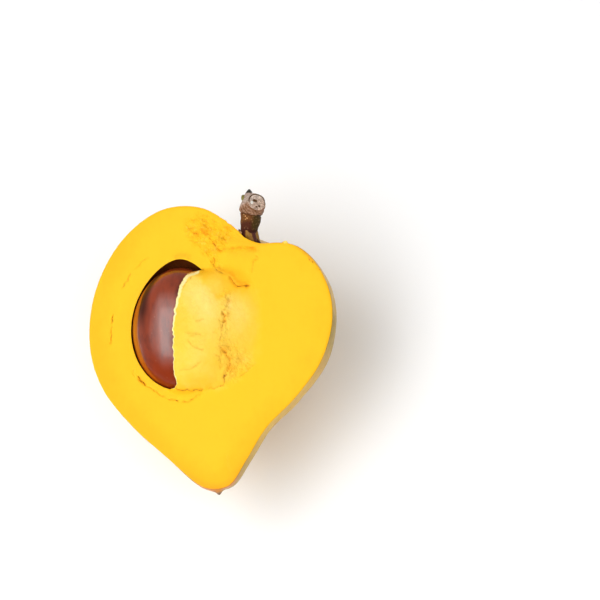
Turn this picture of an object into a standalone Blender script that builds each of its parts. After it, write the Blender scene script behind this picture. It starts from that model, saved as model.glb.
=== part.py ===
"""A ripe lucuma cut open lengthwise, lying on its rounded back with the cut face up.

The fruit is drawn in its own frame: x across the cut face, y towards the stem, z out of the
cut face, whose plane is z = 0. An empty then tilts that frame to the way the fruit comes to
rest, so that the origin is the middle of the small flat spot that it lies on. Metres, +Z up.
"""

import math

import bmesh
import bpy
import numpy as np
from mathutils import Euler, Matrix, Vector

MM = 0.001

# Whole fruit
AXIS_DEPTH = 6.0 * MM       # the fruit's axis lies this far below the cut face
TIP_LEAN = 2.8 * MM         # how far the axis leans up to the cut face at the tip
REST_TILT = math.radians(11.0)
FLAT_RADIUS = 8.0 * MM      # the spot that the fruit rests on
BACK_RADIUS = 40.0 * MM     # roundness of the back around that spot
GAP = 0.3 * MM              # clearance between pieces that touch

# The two sides of the heart in the plane of the axis, from the stem's hollow to the tip
RIGHT_SIDE = [(13.8, 24.3), (17.6, 25.9), (23.5, 27.7), (29.6, 26.0), (35.3, 19.6),
              (39.0, 10.2), (39.1, -0.4), (35.2, -12.0), (27.3, -22.7), (18.3, -32.0),
              (12.1, -42.5), (7.6, -50.2), (1.9, -52.9)]
LEFT_SIDE = [(13.8, 24.3), (10.2, 27.6), (5.2, 34.4), (-5.5, 41.1), (-18.8, 40.0),
             (-31.4, 29.7), (-39.5, 13.5), (-41.1, -4.0), (-36.5, -18.8), (-26.5, -31.1),
             (-13.9, -42.5), (-4.9, -50.3), (1.9, -52.9)]

# Seed and the hollow that it lies in
SEED_CENTRE = Vector((-11.2, 0.4, -2.2)) * MM
SEED_HALF_WIDTH = 15.9 * MM
SEED_HALF_DEPTH = 10.5 * MM
SEED_TO_STEM = 20.8 * MM    # from its centre to the end near the stem
SEED_TO_TIP = 20.0 * MM
TIP_TAPER = 1.06            # above 1 the form thins out towards that end
SEED_STEM_TAPER = 1.0
HOLLOW_STEM_TAPER = 1.38
HOLLOW_GAP = 0.45 * MM
HOLLOW_STEM_GAP = 3.7 * MM  # the hollow runs on past the seed's end near the stem

# Torn flesh that still covers half of the seed: its broken edge and its outer border
TORN_EDGE = [(-11.2, -20.2), (-11.5, -17.4), (-11.9, -12.5), (-11.5, -6.0), (-11.6, 0.5),
             (-10.9, 7.0), (-9.7, 13.9), (-7.4, 17.7), (-4.2, 19.4), (-1.6, 22.6)]
TORN_BORDER = [(-10.6, -20.4), (-4.0, -20.6), (4.0, -18.4), (11.0, -13.4), (15.2, -5.0),
               (15.6, 5.0), (13.6, 14.6), (8.0, 20.8), (0.6, 23.4)]
TORN_THICKNESS = 0.6 * MM   # over the hollow
TORN_ROOT = 1.2 * MM        # how deep the torn flesh runs on into the fruit
TORN_SINK = 0.5 * MM        # its outer border dips this far under the cut face
TORN_JAG = 0.3 * MM         # teeth of the broken edge
TORN_TEETH = [(61.0, 0.0, 1.0), (113.0, 1.0, 0.6)]  # how close, where they start, how strong

# Stem: the middle of the wood and its radius, from the hollow to the cut end
STEM_ROUTE = [(13.4, 22.6, -6.3), (12.7, 27.6, -5.7), (11.4, 32.6, -4.2), (11.9, 36.6, -1.6),
              (12.9, 39.5, 1.3), (14.9, 40.8, 4.8)]
STEM_RADII = [3.0, 2.8, 2.9, 2.9, 4.0, 3.1]
STEM_END_BEVEL = 0.8 * MM
POCKET_CENTRE = Vector((12.5, 29.2, -5.5)) * MM
POCKET_RADII = Vector((5.4, 7.2, 4.9)) * MM
SEPALS = 5
SEPAL_HALF_SIZE = Vector((2.1, 0.5, 3.6)) * MM
SEPAL_RING = 2.8 * MM       # from the stem's middle to a sepal's middle
SEPAL_FLARE = math.radians(4.0)
SEPAL_PLACE = 0.27          # of the way along the stem
SEPAL_REACH = 0.08          # half a sepal's length, of the stem's
BUD_MIDDLE = Vector((12.1, 44.0, 2.0)) * MM
BUD_POINTS_TO = Vector((-0.03, 1.0, 0.1))
BUD_LENGTH = 4.0 * MM
BUD_RADIUS = 2.2 * MM
YOUNG_BUD_MIDDLE = Vector((10.2, 42.8, 1.8)) * MM
YOUNG_BUD_RADIUS = 1.2 * MM

# Blocks that cut the fruit flat
CUTTER_WIDTH = 0.2
CUTTER_DEPTH = 0.12

# How finely the forms are divided
FRUIT_RINGS = 48
FRUIT_SEGMENTS = 56
SEED_RINGS = 24
SEED_SEGMENTS = 32
POCKET_RINGS = 16
POCKET_SEGMENTS = 24
TORN_ROWS = 32
TORN_COLUMNS = 14
STEM_STEPS = 22
STEM_ROUNDNESS = 6
SEPAL_RINGS = 8
SEPAL_SEGMENTS = 12
BUD_SEGMENTS = 10
SHARP_FLESH_EDGE = math.radians(38.0)
SHARP_WOOD_EDGE = math.radians(45.0)

FLESH = ("flesh", (0.98, 0.62, 0.035), 0.55)
SEED_COAT = ("seed_coat", (0.115, 0.028, 0.012), 0.18)
BARK = ("bark", (0.16, 0.075, 0.04), 0.85)


def smooth_line(points, t):
    """Point on the smooth line through all the given points, with t running from 0 to 1."""
    points = [np.array(p, dtype=float) for p in points]
    points = [2 * points[0] - points[1]] + points + [2 * points[-1] - points[-2]]
    spans = len(points) - 3
    span = min(int(t * spans), spans - 1)
    f = t * spans - span
    a, b, c, d = points[span:span + 4]
    return 0.5 * (2 * b + (c - a) * f + (2 * a - 5 * b + 4 * c - d) * f ** 2
                  + (3 * b - a - 3 * c + d) * f ** 3)


def fruit_point(t, around):
    """Point on the skin of the whole fruit: t runs from stem to tip, around is an angle."""
    right = smooth_line(RIGHT_SIDE, t) * MM
    left = smooth_line(LEFT_SIDE, t) * MM
    middle = (right + left) / 2
    half = (right - left) / 2
    depth = TIP_LEAN * t ** 6 - AXIS_DEPTH
    across = middle + half * math.cos(around)
    return Vector((across[0], across[1], depth - np.hypot(*half) * math.sin(around)))


def seed_point(along, around, half_width, half_depth, to_stem, to_tip, stem_taper):
    """Point on a seed's form: along is the angle from its stem end, around runs round it."""
    length = to_stem if along < math.pi / 2 else to_tip
    taper = stem_taper if along < math.pi / 2 else TIP_TAPER
    thickness = math.sin(along) ** taper
    return SEED_CENTRE + Vector((
        half_width * thickness * math.cos(around),
        length * math.cos(along),
        -half_depth * thickness * math.sin(around)))


def hollow_point(along, around):
    """Point on the wall of the hollow round the seed."""
    return seed_point(along, around, SEED_HALF_WIDTH + HOLLOW_GAP,
                      SEED_HALF_DEPTH + HOLLOW_GAP, SEED_TO_STEM + HOLLOW_STEM_GAP,
                      SEED_TO_TIP + HOLLOW_GAP, HOLLOW_STEM_TAPER)


def hollow_roof(x, y):
    """Height of the flesh over the hollow at a point of the cut face, or None beside it."""
    length = SEED_TO_TIP + HOLLOW_GAP
    taper = TIP_TAPER
    if y > SEED_CENTRE.y:
        length = SEED_TO_STEM + HOLLOW_STEM_GAP
        taper = HOLLOW_STEM_TAPER
    ahead = (y - SEED_CENTRE.y) / (length + TORN_THICKNESS)
    thickness = math.sqrt(max(0.0, 1 - ahead ** 2)) ** taper
    reach = (SEED_HALF_WIDTH + HOLLOW_GAP + TORN_THICKNESS) * thickness
    if abs(x - SEED_CENTRE.x) >= reach:
        return None
    rise = math.sqrt(1 - ((x - SEED_CENTRE.x) / reach) ** 2)
    half_depth = SEED_HALF_DEPTH + HOLLOW_GAP + TORN_THICKNESS
    return SEED_CENTRE.z + half_depth * thickness * rise


def clear_scene():
    """Remove every object and collection, so that the part starts from nothing."""
    for obj in list(bpy.data.objects):
        bpy.data.objects.remove(obj, do_unlink=True)
    for collection in list(bpy.data.collections):
        bpy.data.collections.remove(collection)


def make_collection(name):
    """New collection in the scene."""
    collection = bpy.data.collections.new(name)
    bpy.context.scene.collection.children.link(collection)
    return collection


def make_material(name, colour, roughness):
    """Plain material with the piece's own colour."""
    material = bpy.data.materials.new(name)
    material.use_nodes = True
    shader = material.node_tree.nodes["Principled BSDF"]
    shader.inputs["Base Color"].default_value = (*colour, 1.0)
    shader.inputs["Roughness"].default_value = roughness
    shader.inputs["Metallic"].default_value = 0.0
    return material


def add_object(name, shape, collection, frame):
    """Object from a bmesh, in a collection and in the fruit's frame."""
    bmesh.ops.recalc_face_normals(shape, faces=shape.faces)
    mesh = bpy.data.meshes.new(name)
    shape.to_mesh(mesh)
    shape.free()
    mesh.shade_smooth()
    obj = bpy.data.objects.new(name, mesh)
    obj.parent = frame
    collection.objects.link(obj)
    return obj


def shaped_sphere(rings, segments, point):
    """Closed ball whose every point is moved to point(angle from the pole, angle round)."""
    shape = bmesh.new()
    bmesh.ops.create_uvsphere(shape, u_segments=segments, v_segments=rings, radius=1.0)
    for vert in shape.verts:
        pole_angle = math.acos(max(-1.0, min(1.0, vert.co.z)))
        vert.co = point(pole_angle, math.atan2(vert.co.y, vert.co.x))
    return shape


def ellipsoid(centre, radii, segments, rings, turn=None):
    """Closed ellipsoid with its radii along x, y and z before the turn."""
    shape = bmesh.new()
    bmesh.ops.create_uvsphere(shape, u_segments=segments, v_segments=rings, radius=1.0)
    placing = Matrix.Translation(centre) @ (turn or Matrix.Identity(4))
    bmesh.ops.transform(shape, matrix=placing @ Matrix.Diagonal((*radii, 1.0)),
                        verts=shape.verts)
    return shape


def block(centre, size):
    """Closed box."""
    shape = bmesh.new()
    bmesh.ops.create_cube(shape, size=1.0)
    bmesh.ops.transform(shape, matrix=Matrix.Translation(centre) @ Matrix.Diagonal((*size, 1.0)),
                        verts=shape.verts)
    return shape


def hide_cutter(obj):
    """Show a cutter as wire, and leave it out of renders."""
    obj.hide_render = True
    obj.display_type = "WIRE"
    return obj


def boolean(obj, operation, other):
    """Cut another object out of this one, or join it on."""
    modifier = obj.modifiers.new(other.name, "BOOLEAN")
    modifier.operation = operation
    modifier.solver = "EXACT"
    modifier.object = other


def apply_modifiers(obj, sharp_angle):
    """Replace an object's mesh by its evaluated one, smooth but for its sharp edges."""
    bpy.context.view_layer.update()
    evaluated = obj.evaluated_get(bpy.context.evaluated_depsgraph_get())
    mesh = bpy.data.meshes.new_from_object(evaluated)
    obj.modifiers.clear()
    obj.data = mesh
    mesh.shade_smooth()
    mesh.set_sharp_from_angle(angle=sharp_angle)


def torn_flesh_shape():
    """Torn layer that rises over the seed: a curved sheet with a flat root in the face."""
    shape = bmesh.new()
    bmesh.ops.create_grid(shape, x_segments=TORN_COLUMNS, y_segments=TORN_ROWS, size=0.5)
    for vert in shape.verts:
        out = vert.co.x + 0.5
        up = vert.co.y + 0.5
        edge = smooth_line(TORN_EDGE, up) * MM
        teeth = sum(high * math.sin(close * up + start) for close, start, high in TORN_TEETH)
        edge[0] += TORN_JAG * teeth
        border = smooth_line(TORN_BORDER, up) * MM
        x, y = edge + (border - edge) * out
        edge_height = max(hollow_roof(*edge) or 0.0, 0.0)
        slope = edge_height * (1 - out ** 2) ** 1.5 - TORN_SINK * out
        vert.co = Vector((x, y, max(slope, hollow_roof(x, y) or slope)))
    sheet = list(shape.faces)
    grown = bmesh.ops.extrude_face_region(shape, geom=sheet)["geom"]
    for item in grown:
        if isinstance(item, bmesh.types.BMVert):
            item.co.z = -TORN_ROOT
    return shape


def rest_frame():
    """Empty that lays the fruit on its flat spot, with that spot's middle at the origin."""
    turn = Euler((REST_TILT, 0.0, 0.0)).to_matrix()
    steps = 200
    lowest = min((turn @ fruit_point(i / steps, math.pi / 2) for i in range(steps + 1)),
                 key=lambda p: p.z)
    flat_depth = FLAT_RADIUS ** 2 / (2 * BACK_RADIUS)
    frame = bpy.data.objects.new("rest_frame", None)
    frame.rotation_euler = (REST_TILT, 0.0, 0.0)
    frame.location = -lowest - Vector((0.0, 0.0, flat_depth))
    return frame


def make_fruit_body(part, cutters, frame):
    """Flesh and skin in one: the cut heart, with its hollow, torn flesh and flat spot."""
    body = add_object("fruit_body", shaped_sphere(
        FRUIT_RINGS, FRUIT_SEGMENTS, lambda pole, around: fruit_point(pole / math.pi, around)),
        part, frame)
    block_size = (CUTTER_WIDTH, CUTTER_WIDTH, CUTTER_DEPTH)
    knife = add_object("knife", block((0.0, 0.0, CUTTER_DEPTH / 2), block_size), cutters, frame)
    torn = add_object("torn_flesh", torn_flesh_shape(), cutters, frame)
    hollow = add_object("seed_hollow", shaped_sphere(SEED_RINGS, SEED_SEGMENTS, hollow_point),
                        cutters, frame)
    pocket = add_object("stem_pocket", ellipsoid(
        POCKET_CENTRE, POCKET_RADII, POCKET_SEGMENTS, POCKET_RINGS), cutters, frame)
    stem_room = stem_wood("stem_room", GAP, cutters, frame)
    floor = add_object("floor", block((0.0, 0.0, -CUTTER_DEPTH / 2), block_size), cutters, None)
    boolean(body, "DIFFERENCE", knife)
    boolean(body, "UNION", torn)
    for cutter in (hollow, pocket, stem_room, floor):
        boolean(body, "DIFFERENCE", cutter)
    for cutter in (knife, torn, hollow, pocket, stem_room, floor):
        hide_cutter(cutter)
    apply_modifiers(body, SHARP_FLESH_EDGE)
    body.data.materials.clear()
    body.data.materials.append(make_material(*FLESH))


def make_seed(part, frame):
    """Seed: longer than wide, a little flat, thinner towards both ends."""
    def point(pole, around):
        return seed_point(pole, around, SEED_HALF_WIDTH, SEED_HALF_DEPTH,
                          SEED_TO_STEM, SEED_TO_TIP, SEED_STEM_TAPER)
    seed = add_object("seed", shaped_sphere(SEED_RINGS, SEED_SEGMENTS, point), part, frame)
    seed.data.materials.append(make_material(*SEED_COAT))


def stem_wood(name, clearance, collection, frame):
    """Bent wood of the stem, with a wider head and a cut end with a small bevel."""
    curve = bpy.data.curves.new(name, "CURVE")
    curve.dimensions = "3D"
    curve.bevel_depth = 1.0
    curve.bevel_resolution = STEM_ROUNDNESS
    curve.use_fill_caps = True
    spline = curve.splines.new("POLY")
    spline.points.add(STEM_STEPS)
    middle = [Vector(smooth_line(STEM_ROUTE, t)) * MM for t in (0.0, 0.02, 0.98, 1.0)]
    back = (middle[0] - middle[1]).normalized()
    ahead = (middle[3] - middle[2]).normalized()
    for i in range(STEM_STEPS):
        t = i / (STEM_STEPS - 1)
        radius = smooth_line([(r,) for r in STEM_RADII], t)[0] * MM
        spline.points[i].co = (*(smooth_line(STEM_ROUTE, t) * MM), 1.0)
        spline.points[i].radius = radius + clearance
    spline.points[0].co = (*(middle[0] + back * clearance), 1.0)
    spline.points[STEM_STEPS].co = (*(middle[3] + ahead * STEM_END_BEVEL), 1.0)
    spline.points[STEM_STEPS].radius = STEM_RADII[-1] * MM - STEM_END_BEVEL + clearance
    guide = bpy.data.objects.new("stem_guide", curve)
    collection.objects.link(guide)
    evaluated = guide.evaluated_get(bpy.context.evaluated_depsgraph_get())
    mesh = bpy.data.meshes.new_from_object(evaluated)
    bpy.data.objects.remove(guide, do_unlink=True)
    shape = bmesh.new()
    shape.from_mesh(mesh)
    bmesh.ops.remove_doubles(shape, verts=shape.verts, dist=0.01 * MM)
    return add_object(name, shape, collection, frame)


def stem_extras(collection, frame):
    """Sepals that clasp the foot of the stem, and the two buds at its head."""
    foot = Vector(smooth_line(STEM_ROUTE, SEPAL_PLACE)) * MM
    along = (smooth_line(STEM_ROUTE, SEPAL_PLACE + SEPAL_REACH)
             - smooth_line(STEM_ROUTE, SEPAL_PLACE - SEPAL_REACH))
    upright = Vector(along).to_track_quat("Z", "Y").to_matrix().to_4x4()
    for i in range(SEPALS):
        turn = upright @ Matrix.Rotation(2 * math.pi * i / SEPALS, 4, "Z")
        place = foot + (turn @ Vector((0.0, SEPAL_RING, 0.0)))
        lean = turn @ Matrix.Rotation(-SEPAL_FLARE, 4, "X")
        sepal = ellipsoid(place, SEPAL_HALF_SIZE, SEPAL_SEGMENTS, SEPAL_RINGS, lean)
        add_object(f"sepal_{i + 1}", sepal, collection, frame)
    bud = bmesh.new()
    bmesh.ops.create_cone(bud, cap_ends=True, segments=BUD_SEGMENTS, radius1=BUD_RADIUS,
                          radius2=BUD_RADIUS * 0.1, depth=BUD_LENGTH)
    pointing = BUD_POINTS_TO.to_track_quat("Z", "Y").to_matrix().to_4x4()
    bmesh.ops.transform(bud, matrix=Matrix.Translation(BUD_MIDDLE) @ pointing, verts=bud.verts)
    add_object("bud", bud, collection, frame)
    young = ellipsoid(YOUNG_BUD_MIDDLE, (YOUNG_BUD_RADIUS,) * 3, SEPAL_SEGMENTS, SEPAL_RINGS)
    add_object("young_bud", young, collection, frame)


def make_stem(part, frame):
    """Woody stem with its sepals and bud, joined in one piece."""
    stem = stem_wood("stem", 0.0, part, frame)
    extras = make_collection("stem_extras")
    stem_extras(extras, frame)
    joined = stem.modifiers.new("extras", "BOOLEAN")
    joined.operation = "UNION"
    joined.operand_type = "COLLECTION"
    joined.collection = extras
    joined.solver = "EXACT"
    apply_modifiers(stem, SHARP_WOOD_EDGE)
    for extra in list(extras.objects):
        bpy.data.objects.remove(extra, do_unlink=True)
    bpy.data.collections.remove(extras)
    stem.data.materials.clear()
    stem.data.materials.append(make_material(*BARK))


def main():
    """Build the cut lucuma: fruit body, seed and stem."""
    clear_scene()
    part = make_collection("lucuma")
    cutters = make_collection("cutters")
    frame = rest_frame()
    part.objects.link(frame)
    bpy.context.view_layer.update()
    make_fruit_body(part, cutters, frame)
    make_seed(part, frame)
    make_stem(part, frame)


main()
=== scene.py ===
"""Looks of a ripe lucuma that lies cut open on its rounded back.

Lengths are in millimetres in the fruit's own frame: x runs across the cut face, y towards the
stem and z out of the cut face, whose plane is z = 0. Bed lays that frame on the floor, in metres.
"""

from __future__ import annotations

import itertools
import logging
import math
from dataclasses import dataclass, field, replace
from enum import Enum
from typing import Any, Sequence

import bpy
import numpy as np
from mathutils import Matrix, Vector
from mathutils.bvhtree import BVHTree

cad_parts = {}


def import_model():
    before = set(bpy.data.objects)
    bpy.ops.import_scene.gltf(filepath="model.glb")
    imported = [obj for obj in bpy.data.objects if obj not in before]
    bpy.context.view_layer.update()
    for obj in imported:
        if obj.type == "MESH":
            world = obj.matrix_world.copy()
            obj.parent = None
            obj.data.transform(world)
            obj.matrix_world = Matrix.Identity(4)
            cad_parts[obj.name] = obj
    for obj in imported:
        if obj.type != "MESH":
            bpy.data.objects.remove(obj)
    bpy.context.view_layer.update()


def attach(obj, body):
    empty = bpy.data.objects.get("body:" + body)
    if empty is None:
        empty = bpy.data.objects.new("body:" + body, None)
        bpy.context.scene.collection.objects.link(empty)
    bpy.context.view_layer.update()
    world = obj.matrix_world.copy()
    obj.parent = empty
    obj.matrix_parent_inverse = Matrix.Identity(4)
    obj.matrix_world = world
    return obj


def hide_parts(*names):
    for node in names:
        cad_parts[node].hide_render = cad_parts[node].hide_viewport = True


Array = np.ndarray
Colour = tuple[float, float, float]
Point = tuple[float, float, float]
Place = tuple[float, float]
Thing = bpy.types.Object
Material = bpy.types.Material

MM = 0.001
LOG = logging.getLogger("lucuma")


# Numbers and lines


def smooth_line(points: Sequence[Sequence[float]], t: Array) -> Array:
    """Follow the smooth line through all the given points.

    Args:
        points: The points, two or three numbers each.
        t: Places along the line, 0 at its start and 1 at its end.

    Returns:
        One point per place.
    """
    given = np.array(points, dtype=float)
    given = np.vstack([2 * given[0] - given[1], given, 2 * given[-1] - given[-2]])
    spans = len(given) - 3
    place = np.clip(np.asarray(t, dtype=float), 0.0, 1.0) * spans
    span = np.minimum(place.astype(int), spans - 1)
    f = (place - span)[..., None]
    a, b, c, d = (given[span + i] for i in range(4))
    return 0.5 * (2 * b + (c - a) * f + (2 * a - 5 * b + 4 * c - d) * f ** 2
                  + (3 * b - a - 3 * c + d) * f ** 3)


def length_along(line: Array) -> Array:
    """Distance from the start of a line to each of its points."""
    return np.concatenate([[0.0], np.cumsum(lengths(np.diff(line, axis=0)))])


def place_at(line: Array, distance: Array) -> Array:
    """Points at given distances along a line, which can have any number of columns."""
    along = length_along(line[:, :2])
    return np.stack([np.interp(distance, along, line[:, i]) for i in range(line.shape[1])], axis=-1)


def smooth_step(value: Array, low: float, high: float) -> Array:
    """Rise gently from 0 at low to 1 at high."""
    f = np.clip((value - low) / (high - low), 0.0, 1.0)
    return f * f * (3 - 2 * f)


def soft_max(a: Array, b: Array, width: float) -> Array:
    """Larger of two heights, with the corner between them rounded over width."""
    h = np.clip(0.5 + 0.5 * (a - b) / width, 0.0, 1.0)
    return b + (a - b) * h + width * h * (1 - h)


def bell(distance: Array, reach: float) -> Array:
    """Soft spot: 1 in its middle and next to nothing past twice its reach."""
    return np.exp(-(distance / reach) ** 2)


def between(low: float, high: float, count: int) -> Array:
    """Numbers spread evenly from low to high, without low and high themselves."""
    return np.linspace(low, high, count + 2)[1:-1]


def circle(count: int) -> Array:
    """Angles spread evenly over one full turn."""
    return np.linspace(0.0, 2 * math.pi, count, endpoint=False)


def in_plane(places: Array) -> Array:
    """Places of the cut face as points in its plane."""
    return np.column_stack([places[:, :2], np.zeros(len(places))])


def lengths(vectors: Array) -> Array:
    """Length of each vector."""
    return np.linalg.norm(vectors, axis=-1)


def unit(vectors: Array) -> Array:
    """Vectors scaled to length 1."""
    return vectors / np.maximum(lengths(vectors)[..., None], 1e-12)


def crossways(ahead: Array) -> tuple[Array, Array]:
    """Two directions across each given direction and across each other."""
    side = unit(np.cross(ahead, np.array([1.0, 0.0, 0.0])))
    return side, np.cross(ahead, side)


def soft_spots(points: Array, spots: Sequence[tuple[Sequence[float], float]]) -> Array:
    """Strength of the strongest of several soft spots.

    Args:
        points: Points in space.
        spots: Middle and reach of each spot; a middle of two numbers leaves z out.

    Returns:
        One number per point, 0 to 1.
    """
    strength = np.zeros(len(points))
    for middle, reach in spots:
        away = lengths(points[:, :len(middle)] - np.array(middle))
        strength = np.maximum(strength, bell(away, reach))
    return strength


def turn_between(start: Array, end: Array, share: float) -> Array:
    """Directions part of the way from start to end on the unit sphere.

    Args:
        start: Unit vectors at share 0.
        end: Unit vectors at share 1.
        share: How far along the arc, 0 to 1.

    Returns:
        Unit vectors.
    """
    angle = np.arccos(np.clip(np.sum(start * end, axis=-1, keepdims=True), -1.0, 1.0))
    angle = np.maximum(angle, 1e-6)
    return unit(np.sin((1 - share) * angle) * start + np.sin(share * angle) * end)


@dataclass(frozen=True)
class LineReading:
    """Where points lie beside a line: distance, place from 0 to 1 along it, and side."""

    distance: Array
    along: Array
    side: Array


def read_line(points: Array, line: Array) -> LineReading:
    """Measure points of the cut face against a line drawn on it.

    Args:
        points: Points, of which x and y are read.
        line: The line's points.

    Returns:
        Distance, place along the line and side (1 on its left, -1 on its right).
    """
    start, step = line[:-1, :2], np.diff(line[:, :2], axis=0)
    squares = np.maximum(np.sum(step ** 2, axis=1), 1e-12)
    count = len(points)
    best = np.full(count, np.inf)
    along, side = np.zeros(count), np.ones(count)
    for i in range(len(step)):
        away = points[:, :2] - start[i]
        share = np.clip(away @ step[i] / squares[i], 0.0, 1.0)
        gap = away - share[:, None] * step[i]
        distance = np.hypot(gap[:, 0], gap[:, 1])
        nearer = distance < best
        best = np.where(nearer, distance, best)
        along = np.where(nearer, (i + share) / len(step), along)
        cross = step[i][0] * away[:, 1] - step[i][1] * away[:, 0]
        side = np.where(nearer, np.sign(cross), side)
    return LineReading(best, along, side)


def inside_distance(points: Array, border: Sequence[Place]) -> Array:
    """Distance from a closed border, above 0 inside it and below 0 outside.

    Args:
        points: Points, of which x and y are read.
        border: Corners of the border in order.

    Returns:
        One distance per point.
    """
    ring = np.array([*border, border[0]], dtype=float)
    within = np.zeros(len(points), dtype=bool)
    for (x0, y0), (x1, y1) in zip(ring[:-1], ring[1:]):
        crosses = (y0 > points[:, 1]) != (y1 > points[:, 1])
        at = x0 + (points[:, 1] - y0) * (x1 - x0) / ((y1 - y0) or 1e-12)
        within ^= crosses & (points[:, 0] < at)
    return np.where(within, 1.0, -1.0) * read_line(points, ring).distance


@dataclass(frozen=True)
class Grain:
    """Smooth seeded noise in space, about -1 to 1 and the same on each run."""

    seed: int

    def at(self, points: Array, size: float, layers: int = 1) -> Array:
        """Noise at points.

        Args:
            points: Points, in the same unit as size.
            size: Width of the noise's largest lumps.
            layers: How many finer noises are added, each half as wide and strong.

        Returns:
            One number per point.
        """
        total = np.zeros(len(points))
        for layer in range(layers):
            total += self._layer(points * 2 ** layer / size, layer) / 2 ** layer
        return total

    def _layer(self, points: Array, layer: int) -> Array:
        """Noise whose lumps are 1 wide.

        Args:
            points: Points, in widths of a lump.
            layer: Number of the layer, which picks its random slopes.

        Returns:
            One number per point.
        """
        random = np.random.default_rng(self.seed + 101 * layer)
        table = random.permutation(256)
        slopes = unit(random.normal(size=(256, 3)))
        cell = np.floor(points).astype(int)
        f = points - cell
        eased = f ** 3 * (f * (f * 6 - 15) + 10)
        total = np.zeros(len(points))
        for corner in itertools.product((0, 1), repeat=3):
            at = (cell + corner) % 256
            slope = slopes[table[(table[(table[at[:, 0]] + at[:, 1]) % 256] + at[:, 2]) % 256]]
            weight = np.prod(np.where(np.array(corner) == 1, eased, 1 - eased), axis=1)
            total += weight * np.sum(slope * (f - corner), axis=1)
        return 1.7 * total


@dataclass(frozen=True)
class Lumps:
    """Relief made of noise: its seed, its height, the width of its lumps and its layers."""

    seed: int
    height: float
    width: float
    layers: int = 1

    def at(self, points: Array) -> Array:
        """Height of the relief at points."""
        return self.height * Grain(self.seed).at(points, self.width, self.layers)


# How the fruit lies, and the forms that its pieces share


@dataclass(frozen=True)
class Bed:
    """How the fruit lies: tilted, with the middle of its flat spot at the origin."""

    tilt: float = math.radians(11.0)
    shift: Point = (2.295, -4.673, 44.332)

    def matrix(self) -> Matrix:
        """Placing of the fruit's frame, in metres."""
        return Matrix.Translation(Vector(self.shift) * MM) @ Matrix.Rotation(self.tilt, 4, "X")

    def lay(self, points: Array) -> Array:
        """Points of the fruit's frame, in metres on the floor."""
        turn = np.array(self.matrix().to_3x3())
        return (points @ turn.T + np.array(self.shift)) * MM

    def height(self, points: Array) -> Array:
        """Height of points over the floor, in millimetres."""
        return self.lay(points)[..., 2] / MM

    def settle(self, points: Array) -> Array:
        """Points with those under the floor lifted up to it.

        Args:
            points: Points of the fruit's frame.

        Returns:
            The same points, or higher ones.
        """
        up = np.array(self.matrix().to_3x3())[2]
        sunk = np.minimum(self.height(points), 0.0)
        return points - sunk[..., None] * up


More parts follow.
